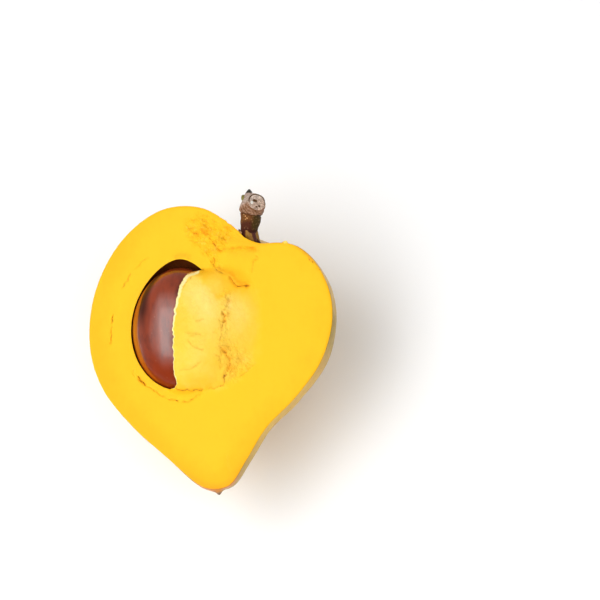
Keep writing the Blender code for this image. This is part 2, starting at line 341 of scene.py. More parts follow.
@dataclass(frozen=True)
class HeartForm:
    """Skin of the whole fruit, drawn from its two sides as in the part's solids."""

    right: tuple[Place, ...] = (
        (13.8, 24.3), (17.6, 25.9), (23.5, 27.7), (29.6, 26.0), (35.3, 19.6), (39.0, 10.2),
        (39.1, -0.4), (35.2, -12.0), (27.3, -22.7), (18.3, -32.0), (12.1, -42.5), (7.6, -50.2),
        (1.9, -52.9))
    left: tuple[Place, ...] = (
        (13.8, 24.3), (10.2, 27.6), (5.2, 34.4), (-5.5, 41.1), (-18.8, 40.0), (-31.4, 29.7),
        (-39.5, 13.5), (-41.1, -4.0), (-36.5, -18.8), (-26.5, -31.1), (-13.9, -42.5),
        (-4.9, -50.3), (1.9, -52.9))
    axis_depth: float = 6.0
    tip_lean: float = 2.8
    steepness: float = 0.6
    search_steps: int = 8001
    outline_steps: int = 900
    tree_rows: int = 320
    tree_columns: int = 360

    def depth(self, t: Array) -> Array:
        """Height of the fruit's axis, which lies below the cut face."""
        return self.tip_lean * t ** 6 - self.axis_depth

    def sides(self, t: Array) -> tuple[Array, Array]:
        """Middle between the fruit's two sides, and the way from there to the right one."""
        right, left = smooth_line(self.right, t), smooth_line(self.left, t)
        return (right + left) / 2, (right - left) / 2

    def skin(self, t: Array, around: Array) -> Array:
        """Points of the skin: t runs from stem to tip, around is the angle round the axis.

        Args:
            t: Places from the stem, 0, to the tip, 1.
            around: Angles round the axis: 0 is right, a quarter turn is down.

        Returns:
            One point per pair of them.
        """
        middle, half = self.sides(t)
        across = middle + half * self.wall(t, around)[..., None]
        z = self.depth(t) - lengths(half) * np.sin(around)
        return np.concatenate([across, z[..., None]], axis=-1)

    def end(self, t: float) -> Array:
        """Point where the skin closes: under the stem for t = 0, at the tip for t = 1."""
        return self.skin(np.array([t]), np.array([0.0]))[0]

    def wall(self, t: Array, around: Array) -> Array:
        """Share of the half width that the skin reaches at an angle, steeper above the axis.

        Args:
            t: Places from the stem, 0, to the tip, 1.
            around: Angles round the axis.

        Returns:
            Shares, from -1 at the left side to 1 at the right.
        """
        across = np.cos(around)
        left = self.steepness * smooth_step(t, 0.20, 0.45)
        right = self.steepness * smooth_step(t, 0.50, 0.75)
        power = 1 - np.where(across < 0, left, right) * (np.sin(around) < 0)
        half = lengths(self.sides(t)[1])
        at_cut = np.clip(1 - (self.depth(t) / np.maximum(half, 0.1)) ** 2, 0.05, 1.0)
        pulled_in = np.where(across > 0, at_cut ** (right / 2), 1.0)
        return np.sign(across) * np.abs(across) ** power * pulled_in

    def cut_outline(self) -> Array:
        """Edge of the cut face, from the stem down the right side and up the left.

        Returns:
            Points of the plane of the cut, in order.
        """
        t = np.linspace(0.0, 1.0, self.search_steps)
        cut = np.nonzero(lengths(self.sides(t)[1]) > np.abs(self.depth(t)))[0]
        first, last = t[cut[0]], t[cut[-1]]
        turn = np.linspace(0.0, math.pi, self.outline_steps)
        t = first + (last - first) * (1 - np.cos(turn)) / 2
        middle, half = self.sides(t)
        around = np.arcsin(np.clip(self.depth(t) / lengths(half), -1.0, 1.0))
        to_right = half * self.wall(t, around)[:, None]
        to_left = half * self.wall(t, math.pi - around)[:, None]
        return np.vstack([middle + to_right, (middle + to_left)[-2::-1]])

    def skin_tree(self) -> BVHTree:
        """Fine skin of the whole fruit, for finding where a line meets it.

        Returns:
            The skin's faces, ready to be searched.
        """
        rows, columns = self.tree_rows, self.tree_columns
        t, around = np.meshgrid(np.linspace(0.0, 1.0, rows), circle(columns), indexing="ij")
        points = self.skin(t, around).reshape(-1, 3)
        faces = [(i * columns + j, i * columns + (j + 1) % columns,
                  (i + 1) * columns + (j + 1) % columns, (i + 1) * columns + j)
                 for i in range(rows - 1) for j in range(columns)]
        return BVHTree.FromPolygons(points.tolist(), faces)


@dataclass(frozen=True)
class SeedForm:
    """Rounded form, longer than wide and a little flat: the seed's or its hollow's."""

    centre: Point = (-11.2, 0.4, -2.2)
    half_width: float = 15.9
    half_depth: float = 10.5
    to_stem: float = 20.8
    to_tip: float = 20.0
    stem_taper: float = 1.0
    tip_taper: float = 1.06
    search_reach: float = 40.0
    search_steps: int = 40

    def grown(self, gap: float, stem_gap: float) -> SeedForm:
        """Same form, larger by gap, and by stem_gap towards the stem."""
        return replace(self, half_width=self.half_width + gap, half_depth=self.half_depth + gap,
                       to_stem=self.to_stem + stem_gap, to_tip=self.to_tip + gap)

    def thickness(self, ahead: Array, to_stem: Array) -> Array:
        """Share of the full thickness at a share of the length towards one of the ends."""
        round_share = np.sqrt(np.maximum(0.0, 1 - ahead ** 2))
        return round_share ** np.where(to_stem, self.stem_taper, self.tip_taper)

    def reach(self, to_stem: Array) -> Array:
        """Distance from the centre to the end on the stem's side or on the tip's."""
        return np.where(to_stem, self.to_stem, self.to_tip)

    def surface(self, along: Array, around: Array) -> Array:
        """Points of the surface: along is the angle from the stem end, around runs round.

        Args:
            along: Angles from the stem end, up to half a turn.
            around: Angles round the form.

        Returns:
            One point per pair of them.
        """
        to_stem = along < math.pi / 2
        thickness = self.thickness(np.cos(along), to_stem)
        return np.array(self.centre) + np.stack([
            self.half_width * thickness * np.cos(around),
            self.reach(to_stem) * np.cos(along),
            -self.half_depth * thickness * np.sin(around)], axis=-1)

    def height(self, places: Array) -> Array:
        """Top of the form over places of the cut face, and its middle plane beside it.

        Args:
            places: Places of the cut face.

        Returns:
            One height per place.
        """
        to_stem = places[..., 1] > self.centre[1]
        ahead = (places[..., 1] - self.centre[1]) / self.reach(to_stem)
        thickness = self.thickness(ahead, to_stem)
        across = (places[..., 0] - self.centre[0]) / np.maximum(self.half_width * thickness, 1e-9)
        rise = np.sqrt(np.maximum(0.0, 1 - across ** 2))
        return self.centre[2] + self.half_depth * thickness * rise

    def meet(self, directions: Array) -> Array:
        """Points where unit directions from the centre meet the surface.

        Args:
            directions: Unit vectors.

        Returns:
            One point per direction.
        """
        low = np.zeros(directions.shape[:-1])
        high = np.full(directions.shape[:-1], self.search_reach)
        to_stem = directions[..., 1] > 0
        for _ in range(self.search_steps):
            tried = (low + high) / 2
            ahead = np.minimum(np.abs(tried * directions[..., 1] / self.reach(to_stem)), 1.0)
            thickness = np.maximum(self.thickness(ahead, to_stem), 1e-9)
            across = tried * directions[..., 0] / self.half_width
            down = tried * directions[..., 2] / self.half_depth
            beyond = across ** 2 + down ** 2 > thickness ** 2
            high = np.where(beyond, tried, high)
            low = np.where(beyond, low, tried)
        return np.array(self.centre) + directions * low[..., None]


BED = Bed()
HEART = HeartForm()
SEED_FORM = SeedForm()
HOLLOW_FORM = replace(SEED_FORM.grown(0.45, 3.7), stem_taper=1.38)


# Meshes


def put_in_scene(name: str, data: bpy.types.ID) -> Thing:
    """Make an object from a mesh, light or camera and link it to the scene.

    Args:
        name: The object's name.
        data: What it shows.

    Returns:
        The new object.
    """
    obj = bpy.data.objects.new(name, data)
    bpy.context.scene.collection.objects.link(obj)
    return obj


@dataclass
class RingForm:
    """Closed skin drawn as rings of points between two end points."""

    rings: Array
    start: Array
    end: Array
    marks: dict[str, Array] = field(default_factory=dict)

    def points(self) -> Array:
        """All points: the start, the rings in order and the end."""
        return np.vstack([self.start[None], self.rings.reshape(-1, 3), self.end[None]])

    def mark(self, name: str, start: float, values: Array, end: float) -> None:
        """Give a value to the start, one to each point of the rings and one to the end."""
        self.marks[name] = np.concatenate([[start], values.ravel(), [end]])

    def faces(self) -> list[tuple[int, ...]]:
        """Fan at the start, bands between the rings and fan at the end.

        Returns:
            Point numbers of each face.
        """
        rows, columns = self.rings.shape[:2]
        near = np.arange(columns)
        far = np.roll(near, -1)
        fan = np.stack([np.zeros(columns, int), 1 + near, 1 + far], axis=1)
        bands = np.concatenate([
            np.stack([1 + i * columns + near, 1 + (i + 1) * columns + near,
                      1 + (i + 1) * columns + far, 1 + i * columns + far], axis=1)
            for i in range(rows - 1)])
        last = 1 + (rows - 1) * columns
        tail = np.stack([last + near, np.full(columns, last + columns), last + far], axis=1)
        return [*map(tuple, fan.tolist()), *map(tuple, bands.tolist()),
                *map(tuple, tail.tolist())]

    def outward(self) -> bool:
        """Whether the faces already look out of the closed skin.

        Returns:
            False if the faces have to be turned.
        """
        points = self.points() - self.points().mean(axis=0)
        faces = self.faces()
        corners = np.array([face[:3] for face in faces] + [
            (face[0], face[2], face[3]) for face in faces if len(face) == 4])
        a, b, c = (points[corners[:, i]] for i in range(3))
        return float(np.sum(a * np.cross(b, c))) > 0

    def make(self, name: str, materials: Sequence[Material],
             band_materials: Sequence[int] | None = None) -> Thing:
        """Build the object, in metres where the fruit lies.

        Args:
            name: The object's name.
            materials: Its materials in order.
            band_materials: For each of the fans and bands, which material it takes.

        Returns:
            The new object, linked to the scene.
        """
        faces = self.faces()
        if not self.outward():
            faces = [face[::-1] for face in faces]
        mesh = bpy.data.meshes.new(name)
        mesh.from_pydata(BED.lay(self.points()).tolist(), [], faces)
        for material in materials:
            mesh.materials.append(material)
        if band_materials is not None:
            columns = self.rings.shape[1]
            mesh.polygons.foreach_set("material_index",
                                      np.repeat(np.array(band_materials, np.int32), columns))
        for mark, values in self.marks.items():
            layer = mesh.attributes.new(mark, "FLOAT", "POINT")
            layer.data.foreach_set("value", values.astype(np.float32))
        mesh.shade_smooth()
        mesh.update()
        return put_in_scene(name, mesh)


# Shader maths


@dataclass(frozen=True)
class Wire:
    """Output of a node; Python's operators on it add Math nodes."""

    bench: NodeBench
    socket: bpy.types.NodeSocket

    def _maths(self, operation: str, *values: Wire | float) -> Wire:
        """Add one Math node."""
        return self.bench.add("ShaderNodeMath", {"operation": operation},
                              dict(enumerate(values)))

    def __add__(self, other: Wire | float) -> Wire:
        """Sum."""
        return self._maths("ADD", self, other)

    __radd__ = __add__

    def __sub__(self, other: Wire | float) -> Wire:
        """Difference."""
        return self._maths("SUBTRACT", self, other)

    def __rsub__(self, other: float) -> Wire:
        """Difference from a number."""
        return self._maths("SUBTRACT", other, self)

    def __mul__(self, other: Wire | float) -> Wire:
        """Product."""
        return self._maths("MULTIPLY", self, other)

    __rmul__ = __mul__

    def at_most(self, other: Wire | float) -> Wire:
        """Smaller of two values."""
        return self._maths("MINIMUM", self, other)

    def at_least(self, other: Wire | float) -> Wire:
        """Larger of two values."""
        return self._maths("MAXIMUM", self, other)

    def size(self) -> Wire:
        """Absolute value."""
        return self._maths("ABSOLUTE", self)

    def rise(self, low: float, high: float) -> Wire:
        """Gentle step: 0 where the value is low, 1 where it is high."""
        return self.bench.add("ShaderNodeMapRange", {"interpolation_type": "SMOOTHSTEP"},
                              {"Value": self, "From Min": low, "From Max": high})

    def fall(self, low: float, high: float) -> Wire:
        """Gentle step: 1 where the value is low, 0 where it is high."""
        return 1.0 - self.rise(low, high)


class NodeBench:
    """Node tree, with the one method that adds nodes to it."""

    def __init__(self, tree: bpy.types.NodeTree) -> None:
        """Take the tree to work on."""
        self.tree = tree

    def add(self, kind: str, settings: dict[str, Any], values: dict[int | str, Any],
            output: int | str = 0) -> Wire:
        """Add a node.

        Args:
            kind: The node's type.
            settings: Its options, set first; stops gives a ramp's places and colours.
            values: Numbers, tuples or wires for its sockets, by index or name.
            output: Which output is wanted.

        Returns:
            The wire from that output.
        """
        node = self.tree.nodes.new(kind)
        for key, value in settings.items():
            if key == "stops":
                self.set_stops(node.color_ramp, value)
            else:
                setattr(node, key, value)
        for key, value in values.items():
            self.feed(node.inputs[key], value)
        return Wire(self, node.outputs[output])

    @staticmethod
    def set_stops(ramp: bpy.types.ColorRamp, stops: Sequence[tuple[float, Colour]]) -> None:
        """Give a colour ramp its stops.

        Args:
            ramp: The ramp.
            stops: Place and colour of each stop.
        """
        while len(ramp.elements) < len(stops):
            ramp.elements.new(1.0)
        for element, (place, colour) in zip(ramp.elements, stops):
            element.position = place
            element.color = (*colour, 1.0)

    def feed(self, socket: bpy.types.NodeSocket, value: Any) -> None:
        """Link a wire to a socket, or set its number or colour.

        Args:
            socket: The socket.
            value: What it gets.
        """
        if isinstance(value, Wire):
            self.tree.links.new(value.socket, socket)
        elif socket.type == "RGBA" and len(value) == 3:
            socket.default_value = (*value, 1.0)
        else:
            socket.default_value = value


class Bench(NodeBench):
    """Node tree of one material, with a Principled shader to wire up."""

    def __init__(self, name: str) -> None:
        """Start a material with nothing but its shader and output.

        Args:
            name: The material's name.
        """
        self.material = bpy.data.materials.new(name)
        self.material.use_nodes = True
        super().__init__(self.material.node_tree)
        self.shader = self.tree.nodes["Principled BSDF"]

    def dress(self, values: dict[str, Any]) -> Material:
        """Feed the shader's sockets and return the finished material.

        Args:
            values: Numbers, colours or wires, by the socket's name.

        Returns:
            The finished material.
        """
        for key, value in values.items():
            self.feed(self.shader.inputs[key], value)
        return self.material

    def places(self) -> Wire:
        """Where on the object a point is, in metres."""
        return self.add("ShaderNodeTexCoord", {}, {}, "Object")

    def mark(self, name: str) -> Wire:
        """Value stored on the mesh."""
        return self.add("ShaderNodeAttribute", {"attribute_name": name}, {}, "Fac")

    def blend(self, first: Any, second: Any, amount: Wire | float) -> Wire:
        """Colour between two others."""
        return self.add("ShaderNodeMix", {"data_type": "RGBA"},
                        {0: amount, 6: first, 7: second}, 2)

    def layers(self, colour: Any, *layers: tuple[Any, Wire | float]) -> Wire:
        """Lay colours over a first one.

        Args:
            colour: The first colour.
            layers: Each further colour, with how much of it shows.

        Returns:
            The colour that results.
        """
        for over, amount in layers:
            colour = self.blend(colour, over, amount)
        return colour

    def stretch(self, places: Wire, factors: Point) -> Wire:
        """Places scaled along x, y and z, so that a pattern is drawn out."""
        return self.add("ShaderNodeVectorMath", {"operation": "MULTIPLY"},
                        {0: places, 1: factors})

    def noise(self, places: Wire, size: float, detail: float = 3.0,
              roughness: float = 0.55) -> Wire:
        """Noise around 0, with lumps of a size in millimetres.

        Args:
            places: Where the noise is read.
            size: Width of its largest lumps.
            detail: How many finer noises are added.
            roughness: How strong these are.

        Returns:
            The noise, about -1 to 1.
        """
        value = self.add("ShaderNodeTexNoise", {}, {
            "Vector": places, "Scale": 1.0 / (size * MM), "Detail": detail,
            "Roughness": roughness}, "Fac")
        return (value - 0.5) * 2.0

    def cells(self, places: Wire, size: float) -> Wire:
        """Distance to the nearest of many scattered points, 1 about a size away."""
        return self.add("ShaderNodeTexVoronoi", {"feature": "F1"},
                        {"Vector": places, "Scale": 1.0 / (size * MM)}, "Distance")

    def bump(self, height: Wire, distance: float) -> Wire:
        """Small relief, its height in millimetres times distance."""
        return self.add("ShaderNodeBump", {}, {
            "Height": height, "Distance": distance * MM, "Strength": 1.0})


# Finishes


@dataclass(frozen=True)
class FleshFinish:
    """Dense starchy flesh, fresh from the knife, and paler where it was torn, with painted light
    and shade over its lumps, cracks, facet and torn dome.
    """

    cut: Colour = (0.985, 0.535, 0.013)
    deep: Colour = (0.980, 0.470, 0.008)
    torn: Colour = (0.970, 0.640, 0.078)
    bright: Colour = (0.985, 0.735, 0.185)
    # Creamy colour of the torn edge, partly painted light on its lit side.
    lip: Colour = (0.965, 0.800, 0.340)
    # Painted shade for the facet that the knife left, which slopes down to the outline.
    facet: Colour = (0.820, 0.390, 0.014)
    orange: Colour = (0.950, 0.400, 0.008)
    stain_and_shade: Colour = (0.900, 0.330, 0.004)
    crack: Colour = (0.320, 0.070, 0.003)
    ochre: Colour = (0.680, 0.310, 0.010)
    # Painted shade for creases and hollows of the crumbled flesh:
    crease_shade: Colour = (0.740, 0.320, 0.006)
    hollow_shade: Colour = (0.960, 0.450, 0.008)

    def make(self) -> Material:
        """Build the material.

        Returns:
            The finished material.
        """
        bench = Bench("cut_flesh")
        places = bench.places()
        broad = bench.noise(places, 16.0, 2.0)
        mottle = bench.noise(places, 2.6, 4.0, 0.6)
        fine = bench.noise(places, 0.7, 3.0, 0.6)
        strand = bench.noise(bench.stretch(places, (1.0, 0.28, 1.0)), 1.6, 3.0, 0.6)
        crumb, seam = bench.mark("crumb"), bench.mark("seam")
        pale = (bench.mark("pale") * (mottle * 0.50 + fine * 0.28 + 1.0)).at_most(1.0)
        # Painted light: the bright mark lightens the torn dome's upper middle.
        light = (bench.mark("bright") * (mottle * 0.5 + fine * 0.3 + 1.0)).at_most(1.0)
        # Crumbled flesh: the lumps' tops are painted paler (painted light) and their hollows amber
        # (painted shade), following the bump.
        lump = bench.noise(places, 2.3, 4.0, 0.6) * 0.7 + bench.noise(places, 0.9, 2.0) * 0.6
        broken_up = crumb.at_least(seam * 0.7)
        sunk = (lump * -1.0).rise(0.08, 0.50)
        # Painted shade in the creases between crumbs, weaker along the seam and on the pale torn
        # flesh.
        shaded_creases = bench.noise(places, 2.9, 4.0, 0.65).size().fall(0.0, 0.11)
        shaded_creases = shaded_creases * bench.noise(places, 4.5, 2.0).rise(-0.15, 0.35)
        shaded_creases = shaded_creases * (crumb * 0.60 + seam * 0.22 + pale * 0.12)
        grain = fine * 0.6 + mottle * 0.5
        # Orange stains, together with painted shade washes along some lines.
        stain_and_shade = (bench.mark("stain_and_shade") * (grain * 1.3 + 0.95)).at_most(1.0)
        rusty = (crumb + seam) * (fine * 0.7 + mottle * 0.8).rise(0.20, 0.75) * 0.45
        broken = (fine * 0.8 + mottle * 0.6 + 0.22).rise(0.0, 0.45) * 0.85 + 0.15
        crease = (bench.mark("wrinkle") + fine * 0.10).fall(0.05, 0.42) * broken
        # Crack lines: brown broken flesh with painted shade in the cracks and under their raised
        # sides.
        line = (bench.mark("crack") + fine * 0.08).fall(0.05, 0.27) * broken
        line = line * (bench.mark("dark") * 1.35).at_most(1.0)
        # The creamy lip along the torn edge: the torn flesh's pale rim, brightened with painted
        # light on the side that faces the light.
        lip = (bench.mark("lip") + fine * 0.20 + mottle * 0.10).fall(0.62, 0.90)
        colour = bench.layers(
            self.ground(bench, broad * 0.5 + mottle * 0.35 + strand * 0.30, mottle),
            (self.torn, pale), (self.bright, light),
            (self.torn, broken_up * lump.rise(0.05, 0.50) * 0.60),
            (self.hollow_shade, broken_up * sunk * 0.60), (self.crease_shade, shaded_creases),
            (self.stain_and_shade, stain_and_shade.at_least(rusty)), (self.ochre, crease * bench.mark("soft")),
            (self.crack, line), (self.lip, lip))
        grit = bench.noise(places, 1.2, 4.0, 0.6) * (broken_up * 0.8 + pale * 0.18 + 0.07)
        grit = grit + lump * (broken_up * 1.5 + pale * 0.25) - shaded_creases * 0.6
        relief = bench.bump(grit - line * 0.8 - crease * 0.25 + strand * 0.06, 0.25)
        return bench.dress({
            "Base Color": colour, "Roughness": 0.58 + crumb * 0.10,
            "Normal": relief, "Subsurface Weight": 0.15, "Subsurface Radius": (1.0, 0.55, 0.12),
            "Subsurface Scale": 1.0 * MM, "Specular IOR Level": 0.14})

    def ground(self, bench: Bench, shade: Wire, mottle: Wire) -> Wire:
        """Colour of the flat cut, warmer along the rim, orange at the tip and painted shade on the
        knife's slanting facet.

        Args:
            bench: The material's bench.
            shade: Noise that varies the yellow.
            mottle: Noise that breaks the rim's edge.

        Returns:
            The colour.
        """
        rim = bench.mark("rim") + mottle * 0.4
        warm = shade + bench.mark("warm") * 0.9 + 0.14
        tip = bench.mark("to_tip").fall(3.0, 24.0) * rim.fall(0.2, 2.6)
        return bench.layers(self.cut, (self.deep, warm.rise(0.0, 1.2)),
                            (self.deep, rim.fall(0.0, 1.3) * 0.85),
                            (self.facet, bench.mark("facet")), (self.orange, tip))


@dataclass(frozen=True)
class LiningFinish:
    """Smooth wall of the seed's hollow: orange under its rim and turning dark brown further down,
    which is painted shade in the narrow hollow.
    """

    upper: Colour = (0.780, 0.330, 0.016)
    deep_shade: Colour = (0.130, 0.026, 0.003)

    def make(self) -> Material:
        """Build the material.

        Returns:
            The finished material.
        """
        bench = Bench("hollow_wall")
        places = bench.places()
        cloud = bench.noise(places, 4.0, 4.0)
        down = bench.mark("down")
        # Painted shade: the wall darkens with depth.
        colour = bench.blend(self.upper, self.deep_shade, (down + cloud * 0.5).rise(0.4, 2.0))
        relief = bench.bump(bench.noise(places, 0.8, 3.0), 0.08)
        return bench.dress({"Base Color": colour, "Roughness": 0.42 + cloud * 0.06,
                            "Normal": relief, "Specular IOR Level": 0.3})


@dataclass(frozen=True)
class SkinFinish:
    """Thin waxy skin: golden, olive towards the tip and the stem, with brown specks."""

    gold: Colour = (0.740, 0.430, 0.020)
    shade: Colour = (0.560, 0.265, 0.006)
    bright: Colour = (0.840, 0.500, 0.036)
    olive: Colour = (0.250, 0.180, 0.012)
    russet: Colour = (0.450, 0.270, 0.120)
    ripe: Colour = (0.640, 0.210, 0.010)
    speck: Colour = (0.110, 0.045, 0.012)

    def make(self) -> Material:
        """Build the material.

        Returns:
            The finished material.
        """
        bench = Bench("waxy_skin")
        places = bench.places()
        broad = bench.noise(places, 22.0, 3.0)
        cloud = bench.noise(places, 5.0, 4.0, 0.6)
        turn, along = bench.mark("turn"), bench.mark("along")
        to_tip, to_stem = bench.mark("to_tip"), bench.mark("to_stem")
        grain = bench.add("ShaderNodeCombineXYZ", {}, {0: turn * 0.030, 1: along * 0.0022})
        streak = bench.noise(grain, 1.0, 3.0, 0.6)
        tone = broad * 0.6 + streak * 0.45 + 0.45
        sunlit = (cloud * 0.5 - broad * 0.7).rise(0.0, 0.8) * 0.7
        green = (to_tip + broad * 9.0 + streak * 5.0).fall(2.0, 26.0) * 0.80
        shoulder = (to_stem + broad * 8.0 + cloud * 4.0).fall(3.0, 20.0) * 0.55
        green_side = bench.mark("green") * (cloud * 0.6 + 0.9).at_most(1.0)
        rust = (to_stem + cloud * 6.0).fall(2.0, 11.0) * (cloud + 0.6).rise(0.2, 0.9)
        patch = (broad + cloud * 0.7).rise(0.42, 0.75) * 0.6
        ripe = (bench.mark("under") + cloud * 0.8).fall(1.5, 4.5)
        ripe = ripe * (to_tip + cloud * 1.5).fall(5.0, 11.0)
        spread = bench.noise(places, 0.9, 2.0) * 0.05
        speck = (bench.cells(places, 2.6) + spread).fall(0.05, 0.13) * 0.75
        small = (bench.cells(places, 1.1) + spread).fall(0.05, 0.12) * 0.35
        apex = (to_tip + cloud * 0.5).fall(0.8, 1.7)
        spot = (bench.mark("to_spot") + cloud * 0.3).fall(0.5, 0.9)
        colour = bench.layers(
            self.gold, (self.shade, tone.rise(0.0, 1.3)), (self.bright, sunlit),
            (self.olive, green), (self.olive, shoulder), (self.olive, green_side.at_most(1.0)),
            (self.russet, rust.at_least(patch)), (self.ripe, ripe),
            (self.speck, speck.at_least(small)), (self.speck, apex.at_least(spot) * 0.9))
        relief = bench.bump(bench.noise(places, 1.3, 4.0, 0.6) * 0.5 - speck * 0.5
                            + rust * cloud * 0.8, 0.12)
        return bench.dress({
            "Base Color": colour, "Normal": relief,
            "Roughness": 0.42 + rust * 0.25 + cloud * 0.04,
            "Coat Weight": 0.22 - rust.at_least(green_side) * 0.2, "Coat Roughness": 0.35,
            "Subsurface Weight": 0.10, "Subsurface Radius": (1.0, 0.5, 0.1),
            "Subsurface Scale": 1.0 * MM, "Specular IOR Level": 0.35})


@dataclass(frozen=True)
class SeedFinish:
    """Hard glossy coat, drawn out in streaks from end to end, with a dull scar beneath, a painted
    reflection of the hollow's wall along its left side and a painted shadow band beside that.
    """

    brown: Colour = (0.255, 0.033, 0.006)
    dark: Colour = (0.075, 0.010, 0.004)
    red: Colour = (0.240, 0.025, 0.002)
    # Painted reflection of the hollow's wall, for the strip on the seed's side.
    wall_reflection: Colour = (0.430, 0.105, 0.004)
    rust: Colour = (0.400, 0.075, 0.003)
    shadow: Colour = (0.040, 0.008, 0.004)
    scar: Colour = (0.420, 0.260, 0.150)

    def make(self) -> Material:
        """Build the material.

        Returns:
            The finished material.
        """
        bench = Bench("seed_gloss")
        places = bench.places()
        drawn = bench.stretch(places, (1.0, 0.22, 1.0))
        streak = bench.noise(drawn, 2.2, 4.0, 0.6)
        cloud = bench.noise(bench.stretch(places, (1.0, 0.45, 1.0)), 6.0, 3.0)
        low = bench.mark("low")
        tone = (streak * 0.7 + cloud * 0.8 + 0.75).rise(0.0, 1.2)
        red = (low + cloud * 0.25 + streak * 0.12).rise(0.55, 0.90) * 0.9
        red = red.at_least((streak + cloud).rise(0.4, 1.2) * 0.6)
        wall_reflection = bench.mark("wall_reflection") + streak * 0.02
        # Painted shadow: a dark band just inside the side strip, towards the stem end.
        band = wall_reflection.rise(-0.27, -0.09) * low.fall(0.34, 0.56)
        # Painted reflection of the hollow's wall on the seed's left side, orange at the stem end
        # and redder towards the tip.
        strip = bench.blend(self.wall_reflection, self.rust, (low + cloud * 0.1).rise(0.30, 0.80))
        edge = wall_reflection.rise(0.0, 0.02) * low.fall(0.90, 0.98) * low.rise(0.01, 0.08)
        scar = bench.mark("scar").rise(0.0, 0.35)
        scar = (scar + cloud * 0.25).rise(0.35, 0.65)
        fleck = (bench.cells(places, 3.1) + bench.noise(places, 0.6) * 0.08).fall(0.03, 0.10)
        colour = bench.layers(
            self.dark, (self.brown, tone), (self.red, red), (self.shadow, band * 0.90),
            (strip, edge * (cloud * 0.3 + 0.90).at_most(1.0)), (self.scar, scar),
            (self.scar, fleck * 0.15))
        veil = (1.0 - low.rise(0.66, 0.86) * 0.75) * (1.0 - band * 0.80)
        relief = bench.bump(streak * 0.30 + bench.noise(places, 0.5) * (scar * 1.5 + 0.05), 0.06)
        return bench.dress({
            "Base Color": colour, "Roughness": 0.42 + scar * 0.30 + streak * 0.05,
            "Coat Weight": veil * (1.0 - scar), "Coat Roughness": 0.17, "Coat IOR": 1.60,
            "Specular IOR Level": 0.05, "Normal": relief})


@dataclass(frozen=True)
class BarkFinish:
    """Dark bark with pale pores, a greyish swollen head and a pale sawn end, with painted shade at
    its foot and in the crease under the head and painted light on the head's upper left.
    """

    brown: Colour = (0.205, 0.072, 0.018)
    dark: Colour = (0.095, 0.022, 0.010)
    pore: Colour = (0.860, 0.480, 0.200)
    green: Colour = (0.075, 0.042, 0.004)
    ash: Colour = (0.600, 0.360, 0.250)
    wood: Colour = (0.860, 0.640, 0.500)
    frost: Colour = (0.880, 0.740, 0.650)
    chalk: Colour = (0.980, 0.940, 0.860)
    rind: Colour = (0.120, 0.055, 0.018)
    # Painted shade at the foot among the sepals and in the crease.
    foot: Colour = (0.055, 0.007, 0.003)

    def make(self) -> Material:
        """Build the material.

        Returns:
            The finished material.
        """
        bench = Bench("stem_bark")
        places = bench.places()
        cloud = bench.noise(places, 1.5, 4.0, 0.65)
        grit = bench.noise(places, 0.45, 4.0, 0.7)
        head, cut, pit = bench.mark("head"), bench.mark("cut"), bench.mark("pit")
        tone = (bench.mark("height") + cloud * 0.5 + grit * 0.5).rise(0.1, 0.9)
        green = (bench.mark("green") + cloud * 0.6).rise(0.15, 0.95)
        dots = (bench.cells(places, 0.95) + grit * 0.06).fall(0.22, 0.36)
        pore = (bench.mark("pores") + cloud * 0.5 + grit * 0.5).rise(0.42, 0.70)
        pore = (pore * bench.mark("pores").rise(0.05, 0.3)).at_least(dots * 0.18)
        # Painted shade: near black at the foot among the sepals and in the crease under the head.
        foot_and_crease_shade = bench.mark("foot").at_least(bench.mark("crease") * 0.85)
        ridge = bench.mark("ridge")
        side = (ridge * 0.30 + cloud * 0.7 + grit * 0.7 + 0.55).rise(0.0, 1.0)
        face = (cloud * 0.7 + grit * 0.8 + 0.65).rise(0.0, 0.9)
        # Painted light: the head's upper left is paler, where it faces the light.
        lit_head_top = bench.mark("top") * head * 0.75
        flecks = (grit + cloud * 0.4 + ridge * 0.10).rise(0.28, 0.60) * head.at_least(cut) * 0.8
        cracks = bench.noise(places, 1.1, 4.0, 0.7).size().fall(0.02, 0.16)
        rind = (bench.mark("rind") + grit * 0.25).rise(0.35, 0.65)
        chalk = (bench.mark("chalk") + cloud * 0.40 + grit * 0.25).rise(0.42, 0.62)
        colour = bench.layers(
            self.dark, (self.brown, tone), (self.green, green), (self.pore, pore * (1.0 - head)),
            (self.foot, foot_and_crease_shade), (bench.blend(self.brown, self.ash, side), head),
            (bench.blend(self.ash, self.wood, face), cut),
            (self.frost, lit_head_top * (cloud * 0.6 + 0.8).at_most(1.0)), (self.frost, flecks),
            (self.rind, cracks * (head.at_least(cut) * 0.35 + 0.15)),
            (self.rind, rind.at_least((pit + grit * 0.2).rise(0.35, 0.6))),
            (self.chalk, chalk * pit.fall(0.3, 0.6)))
        relief = bench.bump(cloud * 0.5 + grit * 0.5 + pore * 0.8 + flecks * 0.3
                            - cracks * 0.4, 0.28)
        return bench.dress({"Base Color": colour, "Roughness": 0.62 + grit * 0.12,
                            "Normal": relief, "Specular IOR Level": 0.2})


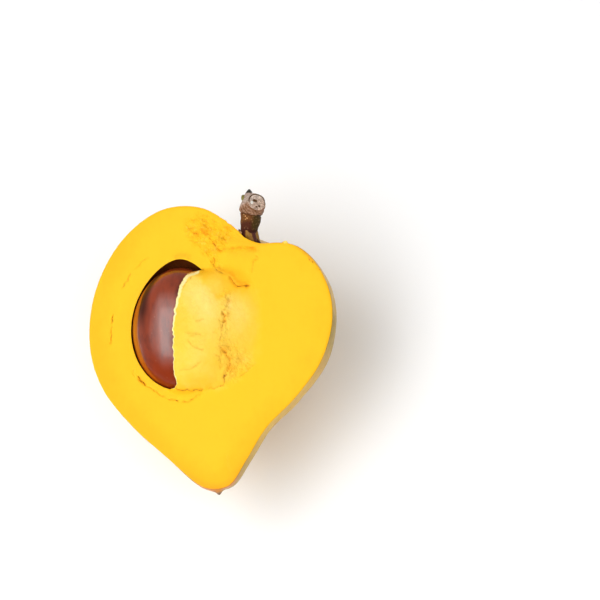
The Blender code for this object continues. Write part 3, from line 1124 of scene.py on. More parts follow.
@dataclass(frozen=True)
class SepalFinish:
    """Leathery sepal: olive in its middle, with a dark shiny margin and, on one, a painted
    highlight.
    """

    name: str = "sepal_leather"
    middle: Colour = (0.300, 0.135, 0.009)
    margin: Colour = (0.075, 0.009, 0.003)
    blaze: Colour = (0.920, 0.560, 0.300)

    def make(self) -> Material:
        """Build the material.

        Returns:
            The finished material.
        """
        bench = Bench(self.name)
        places = bench.places()
        cloud = bench.noise(places, 1.2, 4.0)
        edge = (bench.mark("edge") + cloud * 0.24).rise(0.42, 0.68)
        # Painted highlight on one sepal.
        blaze = (bench.mark("blaze") + cloud * 0.1).rise(0.35, 0.7)
        colour = bench.layers(self.middle, (self.margin, edge), (self.blaze, blaze))
        relief = bench.bump(bench.noise(places, 0.5, 4.0), 0.15)
        return bench.dress({"Base Color": colour, "Roughness": 0.40 + cloud * 0.08,
                            "Coat Weight": 0.12, "Coat Roughness": 0.22, "Normal": relief,
                            "Specular IOR Level": 0.3})


@dataclass(frozen=True)
class FloorFinish:
    """Plain pale studio floor."""

    pale: Colour = (0.96, 0.96, 0.96)

    def make(self) -> Material:
        """Build the material.

        Returns:
            The finished material.
        """
        bench = Bench("studio_floor")
        return bench.dress({"Base Color": self.pale, "Roughness": 0.9,
                            "Specular IOR Level": 0.1})


# Cut face


class Trace(Enum):
    """Kinds of line in the flesh: half width, depth, and strength and reach of its stain, which for
    the widest kind is painted shade.
    """

    SPLIT = (0.24, 0.60, 0.66, 0.56)
    FINE = (0.18, 0.22, 0.28, 0.34)
    WRINKLE = (0.34, 0.12, 0.10, 0.40)
    GROOVE = (0.50, 0.42, 0.50, 0.60)
    SMEAR = (0.45, 0.14, 0.90, 0.60)
    STAIN = (0.60, 0.00, 0.50, 0.90)
    # Painted shade: a soft orange wash beside a groove or crack.
    SHADE_WASH = (1.00, 0.00, 0.25, 2.00)
    TINT = (0.60, 0.00, 0.18, 0.60)


@dataclass(frozen=True)
class Crack:
    """Line where the flesh broke or darkened, drawn on the cut face; its dark colour is brown
    broken flesh and painted shade in the narrow crack and under a raised side.

    Dark says how dark it is at its start and its end, and step how far it parts the heights
    of its two sides.
    """

    kind: Trace
    dark: Place
    route: tuple[Place, ...]
    step: float = 0.0

    def line(self) -> Array:
        """Smooth route in short steps."""
        return smooth_line(self.route, np.linspace(0.0, 1.0, 6 * len(self.route)))

    def ends(self, along: Array) -> Array:
        """Fade towards both ends of the line."""
        return smooth_step(np.minimum(along, 1 - along), -0.02, 0.12)


FLAKE_CRACKS = (
    Crack(Trace.FINE, (0.20, 0.60), (
        (-0.3, 24.1), (0.4, 23.6), (0.4, 21.8), (0.4, 20.7), (1.9, 19.0), (3.3, 18.3),
        (5.1, 17.9)), 0.12),
    Crack(Trace.SPLIT, (0.80, 0.95), (
        (5.3, 17.8), (6.4, 16.2), (7.4, 14.8), (8.3, 14.2), (10.5, 14.3), (12.6, 14.5)), 0.45),
    Crack(Trace.STAIN, (0.0, 0.0), (
        (0.6, 21.2), (2.6, 19.2), (5.6, 18.3), (7.6, 16.0), (9.3, 15.0), (12.2, 15.1))),
    Crack(Trace.SPLIT, (0.75, 0.40), ((-0.4, 29.4), (0.1, 28.6), (0.8, 27.4)), 0.15),
    Crack(Trace.GROOVE, (0.20, 0.25), (
        (0.6, 27.7), (0.9, 26.9), (2.9, 26.4), (5.1, 26.8), (6.9, 26.8), (10.4, 26.9), (13.1, 26.8),
        (14.0, 25.4)), 0.25),
    # Painted shade under the groove.
    Crack(Trace.SHADE_WASH, (0.0, 0.0), ((3.6, 25.9), (8.6, 25.9), (13.6, 25.6))),
    Crack(Trace.STAIN, (0.0, 0.0), ((8.5, 27.0), (11.0, 27.2), (13.6, 26.8), (14.2, 25.2))),
    # Painted orange shade on the flesh by the stem's pocket.
    Crack(Trace.SHADE_WASH, (0.0, 0.0), ((3.0, 30.6), (8.0, 29.4), (13.5, 27.4))),
    Crack(Trace.FINE, (0.15, 0.15), ((13.7, 24.3), (14.3, 23.8), (14.7, 23.5))),
    Crack(Trace.FINE, (0.08, 0.08), ((14.7, 23.5), (13.4, 22.6), (13.1, 20.6), (13.1, 18.6)), 0.10),
    Crack(Trace.FINE, (0.35, 0.45), ((-3.4, 35.4), (-2.9, 34.8), (-2.3, 34.2))),
    Crack(Trace.FINE, (0.15, 0.30), ((-2.0, 31.3), (-1.2, 30.4), (-0.3, 29.3))),
    Crack(Trace.SMEAR, (0.2, 0.2), ((-6.8, 32.1), (-5.7, 32.2), (-4.5, 31.9))),
    Crack(Trace.SMEAR, (0.1, 0.2), ((-4.5, 33.8), (-3.3, 32.5), (-2.0, 31.3))),
    Crack(Trace.WRINKLE, (0.5, 0.5), ((-8.6, 33.6), (-6.9, 34.1), (-5.2, 33.4))),
    Crack(Trace.WRINKLE, (0.4, 0.5), ((-6.0, 37.0), (-3.6, 36.6), (-1.4, 35.2))),
    Crack(Trace.WRINKLE, (0.3, 0.3), ((-8.0, 29.6), (-5.6, 29.0), (-4.0, 27.4))),
    Crack(Trace.STAIN, (0.0, 0.0), ((-13.4, 23.8), (-10.4, 25.0), (-7.4, 23.9))))

SEAM_CRACKS = (
    Crack(Trace.WRINKLE, (0.9, 0.8), (
        (5.8, 12.1), (5.2, 11.3), (4.6, 10.5), (4.9, 9.4), (5.9, 8.6), (5.3, 7.5), (4.5, 6.3),
        (4.0, 5.0))),
    Crack(Trace.SPLIT, (1.00, 0.35), (
        (4.0, 5.4), (4.2, 4.6), (4.6, 3.8), (4.6, 2.5), (4.2, 1.4)), 0.15),
    Crack(Trace.FINE, (0.25, 0.40), (
        (4.2, 1.4), (3.9, 0.3), (3.6, -1.6), (3.5, -3.5), (2.9, -5.7)), 0.10),
    Crack(Trace.SPLIT, (0.60, 0.50), (
        (2.9, -5.7), (3.7, -6.9), (4.9, -8.2), (5.8, -10.0), (5.9, -11.5), (5.3, -13.4),
        (5.0, -14.1)), 0.25),
    Crack(Trace.FINE, (0.80, 0.20), (
        (5.0, -14.1), (4.0, -15.7), (3.6, -17.7), (2.3, -18.6), (0.6, -19.0), (-1.5, -19.4)), 0.20),
    Crack(Trace.FINE, (0.30, 0.50), (
        (-11.9, -18.5), (-10.9, -19.6), (-9.0, -19.9), (-7.4, -19.8), (-4.2, -19.7),
        (-3.0, -19.2)), 0.25),
    Crack(Trace.WRINKLE, (0.8, 0.3), ((2.9, -5.7), (5.0, -5.7), (7.0, -5.9)), 0.10),
    Crack(Trace.WRINKLE, (0.6, 0.5), (
        (5.8, -10.0), (7.4, -9.5), (9.2, -9.7), (9.6, -11.0), (10.4, -11.4))),
    Crack(Trace.WRINKLE, (0.5, 0.9), (
        (14.2, -11.0), (12.8, -12.2), (11.2, -13.8), (9.3, -15.1), (7.9, -16.2)), 0.15),
    Crack(Trace.WRINKLE, (0.2, 0.6), (
        (-9.8, -13.9), (-8.0, -13.7), (-5.9, -13.3), (-4.0, -12.2), (-2.6, -10.5))),
    Crack(Trace.WRINKLE, (0.5, 0.5), ((-4.0, 1.7), (-2.8, 2.1), (-1.5, 2.5))),
    Crack(Trace.WRINKLE, (0.3, 0.4), ((-7.7, -1.7), (-5.1, -2.0), (-3.3, -2.2), (-2.0, -2.8))),
    Crack(Trace.WRINKLE, (0.4, 0.5), (
        (-6.8, -4.1), (-5.9, -5.6), (-4.3, -6.4), (-2.6, -7.2), (-1.6, -6.6))),
    Crack(Trace.WRINKLE, (0.5, 0.4), ((1.9, -8.6), (2.9, -9.6), (2.3, -10.9))),
    Crack(Trace.WRINKLE, (0.8, 0.8), ((1.0, -1.2), (1.8, -1.7))),
    Crack(Trace.WRINKLE, (0.9, 0.3), ((-6.4, 16.8), (-7.3, 15.7), (-8.2, 14.1), (-8.6, 12.4))))

OUTER_CRACKS = (
    Crack(Trace.SPLIT, (1.00, 0.60), ((-24.7, -14.9), (-23.6, -16.4), (-22.3, -17.8))),
    Crack(Trace.FINE, (0.35, 0.15), (
        (-22.3, -17.8), (-19.9, -19.0), (-17.6, -20.8), (-14.7, -22.2)), 0.12),
    Crack(Trace.FINE, (0.35, 0.90), ((-14.7, -22.2), (-12.1, -22.9), (-11.0, -23.1))),
    Crack(Trace.FINE, (0.40, 0.15), (
        (-10.4, -23.0), (-8.4, -23.5), (-7.0, -22.8), (-5.1, -21.4), (-3.3, -20.7)), 0.15),
    Crack(Trace.WRINKLE, (0.5, 0.2), ((-21.4, 24.9), (-23.7, 23.1), (-26.2, 20.9))),
    Crack(Trace.WRINKLE, (0.6, 0.9), ((-27.2, 19.6), (-28.1, 18.0), (-30.3, 14.3))),
    Crack(Trace.FINE, (0.70, 0.50), ((-33.0, 5.8), (-33.4, 4.2), (-33.7, 2.5))),
    Crack(Trace.FINE, (0.60, 0.20), ((-33.6, 1.9), (-33.6, -1.4), (-33.9, -4.0))),
    Crack(Trace.WRINKLE, (0.5, 0.2), ((-25.9, -12.6), (-26.3, -13.6), (-25.8, -14.6))),
    Crack(Trace.FINE, (0.60, 0.70), ((30.8, 23.5), (31.8, 22.1), (33.0, 21.1)), 0.30),
    Crack(Trace.FINE, (0.60, 0.50), ((33.8, 19.7), (34.5, 19.3), (35.1, 19.0)), 0.20),
    Crack(Trace.TINT, (0.0, 0.0), (
        (5.1, -38.8), (4.9, -41.4), (5.1, -43.4), (5.8, -45.8), (7.1, -47.3)), 0.18))

CRACKS = FLAKE_CRACKS + SEAM_CRACKS + OUTER_CRACKS


@dataclass(frozen=True)
class Patch:
    """Soft round spot on the cut face."""

    centre: Place
    radii: Place
    strength: float

    def at(self, places: Array) -> Array:
        """Strength of the spot at places."""
        away = (places[:, :2] - np.array(self.centre)) / np.array(self.radii)
        return self.strength * np.exp(-np.sum(away ** 2, axis=1))


# Painted light: brighter spots over the torn dome, strongest on its upper middle where it faces the
# light.
DOME_LIGHT_PATCHES = (Patch((-3.4, 11.0), (5.6, 5.6), 0.75), Patch((9.4, 5.4), (3.6, 5.0), 0.50),
                Patch((-0.5, 4.5), (3.5, 5.0), 0.60), Patch((5.9, 8.0), (0.9, 2.2), 0.60),
                Patch((-4.0, -9.0), (6.0, 4.5), 0.18), Patch((10.5, -10.5), (1.4, 1.2), 0.40))
# Painted shade: where these lie, the torn dome keeps the cut flesh's deeper yellow, at its left by
# the hollow and towards its lower end.
DOME_SHADE_PATCHES = (Patch((-10.0, -1.0), (3.0, 8.0), 0.45), Patch((2.0, -12.0), (3.0, 4.5), 0.45),
                Patch((9.0, -13.5), (4.0, 3.0), 0.55), Patch((-4.0, -17.0), (7.0, 2.4), 0.50),
                Patch((8.5, -6.0), (4.5, 3.0), 0.35))
# Orange stains of the flesh; the patch at (6.5, 29.7) is painted shade by the stem's pocket.
STAIN_PATCHES = (Patch((4.9, -6.7), (1.7, 0.8), 0.40), Patch((5.7, -12.8), (1.2, 1.1), 0.70),
                 Patch((-5.3, -2.9), (0.9, 0.5), 0.35), Patch((5.6, 8.8), (1.1, 0.9), 0.40),
                 Patch((5.4, 4.4), (0.7, 1.2), 0.45), Patch((12.4, 26.6), (2.4, 1.4), 0.65),
                 Patch((31.5, -10.5), (4.0, 3.5), 0.14), Patch((1.2, 26.0), (1.4, 1.0), 0.30),
                 Patch((-2.9, 32.9), (2.0, 1.6), 0.40), Patch((6.5, 29.7), (4.0, 1.4), 0.20),
                 Patch((4.1, 33.9), (0.9, 0.6), 0.60), Patch((6.3, 33.6), (1.5, 0.8), 0.45))


@dataclass(frozen=True)
class TornFlesh:
    """Flesh that broke away from the knife and still covers half of the seed."""

    edge: tuple[Place, ...] = (
        (-18.6, -20.6), (-14.8, -19.7), (-11.6, -18.4), (-11.7, -12.8), (-11.5, -6.0),
        (-11.6, 0.5), (-10.9, 7.0), (-9.7, 13.9), (-7.8, 17.5), (-5.0, 18.8), (-2.6, 21.0))
    border: tuple[Place, ...] = (
        (-18.4, -21.2), (-13.6, -21.4), (-8.0, -21.2), (0.0, -19.8), (8.0, -16.2), (13.6, -9.0),
        (15.6, 0.0), (15.2, 9.0), (12.0, 17.6), (6.0, 22.4), (0.0, 24.0))
    thickness: float = 0.6
    jag: float = 0.3
    lip_span: Place = (0.17, 0.90)
    pale_border: tuple[Place, ...] = (
        (-4.6, 20.0), (-3.8, 17.7), (-2.3, 15.6), (-0.4, 13.4), (1.5, 11.5), (3.4, 10.1),
        (4.6, 10.8), (5.9, 12.5), (10.0, 13.2), (13.6, 14.0), (15.4, 13.0), (15.5, 5.7),
        (15.4, 0.2), (15.1, -5.2), (14.2, -10.9), (11.2, -13.8), (8.0, -16.2), (3.6, -18.3),
        (-1.5, -19.4), (-7.4, -19.8), (-11.2, -18.6), (-12.6, -15.0), (-13.0, -6.0),
        (-13.0, 0.5), (-12.3, 7.0), (-11.0, 14.0), (-8.4, 18.6))
    crumb_border: tuple[Place, ...] = (
        (-10.5, 36.0), (-4.6, 39.2), (2.8, 35.7), (8.8, 31.5), (5.0, 28.5), (2.0, 25.5),
        (1.8, 22.0), (3.4, 19.4), (2.0, 17.9), (-0.8, 20.4), (-2.6, 24.0), (-4.5, 26.6),
        (-8.8, 30.4))
    seam_border: tuple[Place, ...] = (
        (3.6, 12.4), (7.4, 12.6), (7.0, 7.0), (6.0, 2.0), (6.5, -4.0), (10.5, -7.0),
        (14.0, -9.0), (13.0, -13.0), (8.0, -16.8), (3.2, -18.8), (2.6, -12.0), (1.8, -5.0),
        (2.8, 2.0))
    facet_border: tuple[Place, ...] = (
        (24.4, 28.2), (27.1, 26.7), (29.8, 24.3), (31.8, 22.1), (33.1, 20.9), (35.1, 19.0),
        (39.5, 20.5), (33.0, 29.0), (26.0, 31.5))

    def roof(self) -> SeedForm:
        """Outside of the flesh over the hollow."""
        return HOLLOW_FORM.grown(self.thickness, self.thickness)

    def edge_line(self, up: Array) -> Array:
        """Broken edge from its tip end to its stem end, with its teeth.

        Args:
            up: Places along the edge, 0 at its tip end.

        Returns:
            One place of the cut face each.
        """
        line = smooth_line(self.edge, up)
        teeth = np.sin(61 * up) + 0.6 * np.sin(113 * up + 1.0)
        chips = Grain(5).at(np.stack([up * 90, up * 0, up * 0], axis=-1), 2.3, 4)
        line[..., 0] += self.jag * (0.3 * teeth + 1.3 * chips)
        return line

    def heights(self, places: Array) -> Array:
        """Height of the broken flesh, falling from its edge to its border.

        Args:
            places: Places of the cut face.

        Returns:
            Height over the plane of the cut, 0 beside the broken flesh.
        """
        up = np.linspace(0.0, 1.0, 221)
        edge, border = smooth_line(self.edge, up), smooth_line(self.border, up)
        span = border - edge
        away = places[:, None, :2] - edge[None]
        cross = span[None, :, 0] * away[..., 1] - span[None, :, 1] * away[..., 0]
        turned = (cross[:, :-1] >= 0) & (cross[:, 1:] < 0)
        found = turned.any(axis=1)
        first = turned.argmax(axis=1)
        rows = np.arange(len(places))
        near, far = cross[rows, first], cross[rows, first + 1]
        share = np.where(found, near / np.where(near == far, 1.0, near - far), 0.0)
        place = (first + share) / (len(up) - 1)
        start, end = smooth_line(self.edge, place), smooth_line(self.border, place)
        across = end - start
        out = np.sum((places[:, :2] - start) * across, axis=1) / np.sum(across ** 2, axis=1)
        top = np.maximum(self.roof().height(start), 0.0)
        fall = np.clip(1 - np.clip(out, 0.0, 1.0) ** 2, 0.0, 1.0) ** 1.5
        fall *= 1 - smooth_step(place, 0.76, 0.98)
        torn = soft_max(top * fall, self.roof().height(places), 0.5)
        cover = smooth_step(out, -0.15, -0.03) * (1 - smooth_step(place, 0.95, 1.0))
        return np.where(found & (out < 1.0), np.maximum(torn, 0.0) * cover, 0.0)


@dataclass(frozen=True)
class FaceRelief:
    """Heights and marks of the cut face at its places."""

    torn: TornFlesh = TornFlesh()
    outline: Array = field(default_factory=HEART.cut_outline)
    spike_tip: Place = (23.7, 29.0)
    spike_reach: float = 0.8
    facet_drop: float = 0.8
    upper_dome: Patch = Patch((2.8, 14.2), (4.8, 4.6), 0.55)
    crack_wander: Place = (1.5, 0.42)
    border_wander: Place = (3.0, 1.1)
    facet_wander: Place = (2.0, 0.3)
    swells: Lumps = Lumps(21, 0.10, 11.0, 2)
    dome_lumps: Lumps = Lumps(22, 0.20, 5.0, 3)
    crumb_lumps: Lumps = Lumps(23, 0.44, 3.2, 3)
    crumb_grit: Lumps = Lumps(24, 0.05, 1.1)
    crumb_pit: float = 0.36
    seam_lumps: Lumps = Lumps(25, 0.24, 2.4, 2)
    seam_pit: float = 0.20
    step_reach: float = 1.4
    step_ramp: float = 0.25
    lip_fall: float = 0.34
    rim_fall: float = 0.16
    rim_reach: float = 0.28

    def wander(self, places: Array, size: float, reach: float) -> Array:
        """Places shifted a little, so that lines and borders don't run smoothly.

        Args:
            places: Places of the cut face.
            size: Length of the shift's waves.
            reach: How far places are shifted at most.

        Returns:
            The shifted places.
        """
        flat = in_plane(places)
        shift = np.column_stack([Grain(11).at(flat, size, 2), Grain(12).at(flat, size, 2)])
        return places[:, :2] + reach * shift

    def lip_distance(self, places: Array) -> Array:
        """Distance from the broken edge over the hollow, in widths of its pale lip.

        Args:
            places: Places of the cut face.

        Returns:
            One number per place, 1 at the lip's far side.
        """
        edge = self.torn.edge_line(np.linspace(*self.torn.lip_span, 400))
        width = 0.35 + 0.85 * smooth_step(places[:, 1], -8.0, 16.0)
        width *= smooth_step(places[:, 1], -21.5, -15.0) + 0.05
        return read_line(places, edge).distance / width

    def crumbs(self, places: Array) -> tuple[Array, Array]:
        """How crumbly the flesh is by the stem, and along the torn flesh's seam.

        Args:
            places: Places of the cut face.

        Returns:
            Shares from 0 to 1, by the stem and along the seam.
        """
        blurred = self.wander(places, *self.border_wander)
        crumb = smooth_step(inside_distance(blurred, self.torn.crumb_border), -1.0, 1.6)
        seam = smooth_step(inside_distance(blurred, self.torn.seam_border), -0.6, 1.3)
        return crumb, seam

    def facet(self, places: Array) -> Array:
        """Distance into the slanting facet that the knife left on the right shoulder."""
        return inside_distance(self.wander(places, *self.facet_wander), self.torn.facet_border)

    def heights(self, places: Array) -> Array:
        """Height of the flesh over the plane of the cut.

        Args:
            places: Places of the cut face.

        Returns:
            One height per place.
        """
        flat = in_plane(places)
        height = soft_max(self.torn.heights(places), np.zeros(len(places)), 0.5) - 0.125
        raised = smooth_step(height, 0.2, 1.5)
        crumb, seam = self.crumbs(places)
        height += self.swells.at(flat * (1.0, 0.55, 1.0)) + raised * self.dome_lumps.at(flat)
        pits = smooth_step(Grain(26).at(flat, 2.4, 2), 0.25, 0.60)
        height += crumb * (self.crumb_lumps.at(flat) + self.crumb_grit.at(flat)
                           - self.crumb_pit * pits)
        height += seam * (self.seam_lumps.at(flat) - self.seam_pit * pits)
        height -= self.facet_drop * smooth_step(self.facet(places), 0.0, 2.4)
        bent = self.wander(places, *self.crack_wander)
        for crack in CRACKS:
            half_width, depth = crack.kind.value[:2]
            reading = read_line(bent, crack.line())
            groove = bell(reading.distance, half_width)
            lift = crack.step * np.exp(-reading.distance / self.step_reach)
            side = np.tanh(reading.side * reading.distance / self.step_ramp)
            height += crack.ends(reading.along) * (lift * side - depth * groove)
        lip = np.clip(1 - self.lip_distance(places), 0.0, 1.0)
        rim = read_line(places, self.outline).distance
        return height - self.lip_fall * lip ** 2 - self.rim_fall * np.exp(-rim / self.rim_reach)

    def lines(self, places: Array) -> dict[str, Array]:
        """Distances to the nearest crack and wrinkle, how dark they are, and their stain and
        painted shade.

        Args:
            places: Places of the cut face.

        Returns:
            One number per place and name.
        """
        bent = self.wander(places, *self.crack_wander)
        count = len(places)
        gaps = {"crack": np.full(count, 3.0), "wrinkle": np.full(count, 3.0)}
        shades = {"crack": np.zeros(count), "wrinkle": np.zeros(count)}
        stain_and_shade = np.zeros(count)
        for crack in CRACKS:
            strength, reach = crack.kind.value[2:]
            reading = read_line(bent, crack.line())
            ends = crack.ends(reading.along)
            if crack.kind not in (Trace.SHADE_WASH, Trace.STAIN, Trace.TINT):
                group = "wrinkle" if crack.kind is Trace.WRINKLE else "crack"
                shade = crack.dark[0] + (crack.dark[1] - crack.dark[0]) * reading.along
                nearer = reading.distance < gaps[group]
                gaps[group] = np.where(nearer, reading.distance, gaps[group])
                shades[group] = np.where(nearer, shade * ends, shades[group])
            stain_and_shade = np.maximum(stain_and_shade, ends * strength * bell(reading.distance, reach))
        return {**gaps, "dark": shades["crack"], "soft": shades["wrinkle"], "stain_and_shade": stain_and_shade}

    def marks(self, places: Array) -> dict[str, Array]:
        """Values that the finish reads: cracks, pale flesh, crumbs, lip and rim.

        Args:
            places: Places of the cut face.

        Returns:
            One number per place and name.
        """
        marks = self.lines(places)
        blurred = self.wander(places, *self.border_wander)
        pale = smooth_step(inside_distance(blurred, self.torn.pale_border), -1.3, 2.4)
        pale = np.maximum(pale, self.upper_dome.at(places))
        pale *= 1 - 0.55 * smooth_step(places[:, 0], 7.5, 14.5)
        pale *= 1 - 0.55 * smooth_step(places[:, 1] + 0.4 * places[:, 0], 10.0, 18.0) * (
            smooth_step(places[:, 0], 1.5, 4.5))
        # Painted shade (the dull patches) and painted light (the bright patches) over the torn
        # dome; bright also marks the knife's flake at spike_tip.
        dome_shade = sum(patch.at(places) for patch in DOME_SHADE_PATCHES)
        bright = sum(patch.at(places) for patch in DOME_LIGHT_PATCHES)
        spots = sum(patch.at(places) for patch in STAIN_PATCHES)
        crumb, seam = self.crumbs(places)
        rim = read_line(places, self.outline).distance
        warm = 1 - smooth_step(rim, 0.0, 10.0)
        side = smooth_step(-0.85 * places[:, 0] - 0.50 * places[:, 1], -15.0, 20.0)
        spike = lengths(places[:, :2] - np.array(self.spike_tip))
        marks.update({
            "pale": pale * np.clip(0.95 - dome_shade, 0.0, 1.0),
            "bright": np.maximum(pale * np.clip(bright - dome_shade, 0.0, 1.0), spike < self.spike_reach),
            "stain_and_shade": np.maximum(marks["stain_and_shade"], np.clip(spots, 0.0, 1.0)),
            "crumb": crumb, "seam": seam, "warm": warm * (0.35 + 0.65 * side),
            "facet": smooth_step(self.facet(places), -0.1, 0.5),
            "rim": np.clip(rim, 0.0, 6.0)})
        return marks


# Pieces


@dataclass
class FruitBody:
    """Flesh and skin in one: the cut heart with its hollow and its torn flesh."""

    columns: int = 416
    skin_rows: int = 48
    face_rows: int = 148
    lip_rows: int = 4
    hollow_rows: int = 24
    skin_crowding: float = 1.15
    face_crowding: float = 1.18
    edge_steps: int = 2400
    opening_steps: int = 4000
    matching_blur: int = 4
    core: Point = (-1.0, -1.0, -14.0)
    anchors: tuple[tuple[Place, Place], ...] = (
        ((8.4, 32.9), (-4.6, 20.4)), ((24.0, 28.0), (-9.6, 16.9)),
        ((38.5, 10.0), (-12.9, 6.5)), ((33.5, -14.0), (-13.3, -4.0)),
        ((10.0, -44.0), (-12.6, -13.5)), ((-18.0, -37.8), (-12.1, -17.8)),
        ((-33.0, -23.5), (-23.0, -12.0)), ((-40.9, 0.0), (-26.9, 0.0)),
        ((-34.0, 24.5), (-22.5, 14.5)), ((-13.0, 41.2), (-11.5, 22.7)))
    pocket_centre: Point = (12.5, 29.2, -5.5)
    pocket_radii: Point = (5.4, 7.2, 4.9)
    shoulder: Patch = Patch((5.0, 35.0), (9.0, 6.0), 0.42)
    dent: Patch = Patch((9.0, 30.0), (2.4, 2.6), 0.9)
    shoulder_crumbs: Lumps = Lumps(35, 1.0, 2.6, 3)
    rim_crumbs: Lumps = Lumps(36, 0.05, 1.6, 2)
    flake_at: float = 23.7
    flake_height: float = 1.5
    flake_width: float = 0.60
    cut_edge: float = 0.35
    edge_bulge: float = 0.10
    deepest_way: Point = (0.7, 0.0, -0.7)
    skin_lumps: Lumps = Lumps(31, 0.35, 17.0, 2)
    skin_grain: Lumps = Lumps(32, 0.05, 2.5, 2)
    tip_point: float = 0.65
    tip_spot: Point = (0.5, -52.1, -2.0)
    green: Patch = Patch((39.5, 0.0), (8.0, 11.0), 0.85)
    relief: FaceRelief = field(default_factory=FaceRelief)

    def opening(self) -> Array:
        """Closed edge of the hollow's opening: x, y and 1 where it is torn flesh.

        Returns:
            Its places in order, with that third number.
        """
        edge = self.relief.torn.edge_line(np.linspace(0.0, 1.0, self.edge_steps))
        edge = edge[HOLLOW_FORM.height(edge) > 0.0][::-1]
        along = np.linspace(0.02, math.pi - 0.02, self.opening_steps)
        share = HOLLOW_FORM.thickness(np.cos(along), along < math.pi / 2)
        depth = HOLLOW_FORM.half_depth * share
        inside = np.abs(HOLLOW_FORM.centre[2]) < depth
        along, share, depth = along[inside], share[inside], depth[inside]
        spread = (HOLLOW_FORM.half_width * share
                  * np.sqrt(1 - (HOLLOW_FORM.centre[2] / depth) ** 2))
        y = HOLLOW_FORM.centre[1] + HOLLOW_FORM.reach(along < math.pi / 2) * np.cos(along)
        x = HOLLOW_FORM.centre[0]
        left = np.column_stack([x - spread, y])
        right = np.column_stack([x + spread, y])
        ring = np.vstack([left[::-1], right])
        low, high = (np.argmin(lengths(ring - end)) for end in (edge[-1], edge[0]))
        ring = np.vstack([ring, ring])
        high += len(left) * 2 if high < low else 0
        rim = ring[low:high + 1]
        return np.vstack([np.column_stack([edge, np.ones(len(edge))]),
                          np.column_stack([rim, np.zeros(len(rim))])])

    def crumbled(self, outer: Array) -> Array:
        """Outline with its crumbly shoulder and the flake that the knife left.

        Args:
            outer: The plain outline.

        Returns:
            The outline with its lumps.
        """
        ahead = unit(np.roll(outer, -2, axis=0) - np.roll(outer, 2, axis=0))
        outward = np.column_stack([-ahead[:, 1], ahead[:, 0]])
        flat = in_plane(outer)
        crumbs = self.shoulder.at(outer) * self.shoulder_crumbs.at(flat)
        crumbs += self.rim_crumbs.at(flat) - self.dent.at(outer)
        beside = np.abs(outer[:, 0] - self.flake_at) / self.flake_width
        flake = self.flake_height * np.clip(1 - beside, 0.0, 1.0)
        flake = np.where(outer[:, 1] > 20.0, flake, 0.0)
        return outer + outward * (crumbs + flake)[:, None]

    def edges(self) -> tuple[Array, Array]:
        """Matching points of the plain outline and of the hollow's opening, one per column.

        Returns:
            Places of the outline, and the opening's with their third number.
        """
        outer = np.vstack([self.relief.outline, self.relief.outline[:1]])
        inner = self.opening()
        inner = np.vstack([inner, inner[:1]])
        outer_along, inner_along = length_along(outer), length_along(inner[:, :2])
        pairs = []
        for outside, inside in self.anchors:
            pairs.append((outer_along[np.argmin(lengths(outer - outside))],
                          inner_along[np.argmin(lengths(inner[:, :2] - inside))]))
        pairs = np.array(sorted(pairs))
        turns = outer_along[-1], inner_along[-1]
        rolled = pairs[:, 1] - turns[1] * (pairs[:, 1] > pairs[-1, 1] + 1e-6)
        at = np.linspace(0.0, turns[0], self.columns, endpoint=False)
        outside = np.concatenate([pairs[:, 0] - turns[0], pairs[:, 0], pairs[:, 0] + turns[0]])
        inside = np.concatenate([rolled - turns[1], rolled, rolled + turns[1]])
        matched = np.interp(at, outside, inside)
        blur = self.matching_blur
        window = np.ones(2 * blur + 1) / (2 * blur + 1)
        excess = matched - at * turns[1] / turns[0]
        closed = np.concatenate([excess[-blur:], excess, excess[:blur]])
        excess = np.convolve(closed, window, "valid")
        matched = (excess + at * turns[1] / turns[0]) % turns[1]
        return place_at(outer, at), place_at(inner, matched)

    def skin_rings(self, outer: Array) -> Array:
        """Rings of the skin, from the pole underneath up to the cut outline.

        Args:
            outer: The plain outline.

        Returns:
            The rings, without the pole.
        """
        tree = HEART.skin_tree()
        core = np.array(self.core)
        start = unit(in_plane(outer) - core)
        low = BED.matrix().to_3x3().inverted() @ Vector((0.0, 0.0, -1.0))
        end = np.broadcast_to(np.array(low), start.shape)
        rings = []
        for row in range(1, self.skin_rows + 1):
            share = (row / (self.skin_rows + 1)) ** self.skin_crowding
            rays = turn_between(start, end, share)
            rings.append([tree.ray_cast(Vector(core), Vector(ray))[0] for ray in rays])
        return np.array(rings, dtype=float)[::-1]

    def rough_skin(self, rings: Array) -> Array:
        """Skin with its faint lumps, its pointed tip and the hollow round the stem.

        Args:
            rings: Rings of the smooth skin.

        Returns:
            The same rings, rougher.
        """
        points = rings.reshape(-1, 3)
        away = unit(points - np.array(self.core))
        fade = smooth_step(-points[:, 2], 0.0, 4.0)
        lumps = self.skin_lumps.at(points) + self.skin_grain.at(points)
        points = points + away * (lumps * fade)[:, None]
        near = lengths(points - HEART.end(1.0))
        points[:, 1] -= self.tip_point * bell(near, 1.0)
        centre, radii = np.array(self.pocket_centre), np.array(self.pocket_radii)
        inside = (points - centre) / radii
        reach = lengths(inside)[:, None]
        pushed = centre + inside / np.maximum(reach, 0.2) * radii
        below = smooth_step(-points[:, 2], 0.3, 1.5)[:, None]
        points = np.where(reach < 1.0, points + (pushed - points) * below, points)
        return BED.settle(points).reshape(rings.shape)

    def face_rings(self, outer: Array, inner: Array) -> Array:
        """Rings of the cut face, from the outline in to the hollow's opening.

        Args:
            outer: The plain outline.
            inner: The hollow's opening.

        Returns:
            The rings.
        """
        share = np.linspace(1.0, 0.0, self.face_rows)[:, None, None] ** self.face_crowding
        flat = inner[None, :, :2] + (outer - inner[:, :2])[None] * share
        flat += (self.crumbled(outer) - outer)[None] * smooth_step(share, 0.93, 1.0)
        places = flat.reshape(-1, 2)
        heights = self.relief.heights(places)
        return np.column_stack([places, heights]).reshape(self.face_rows, self.columns, 3)

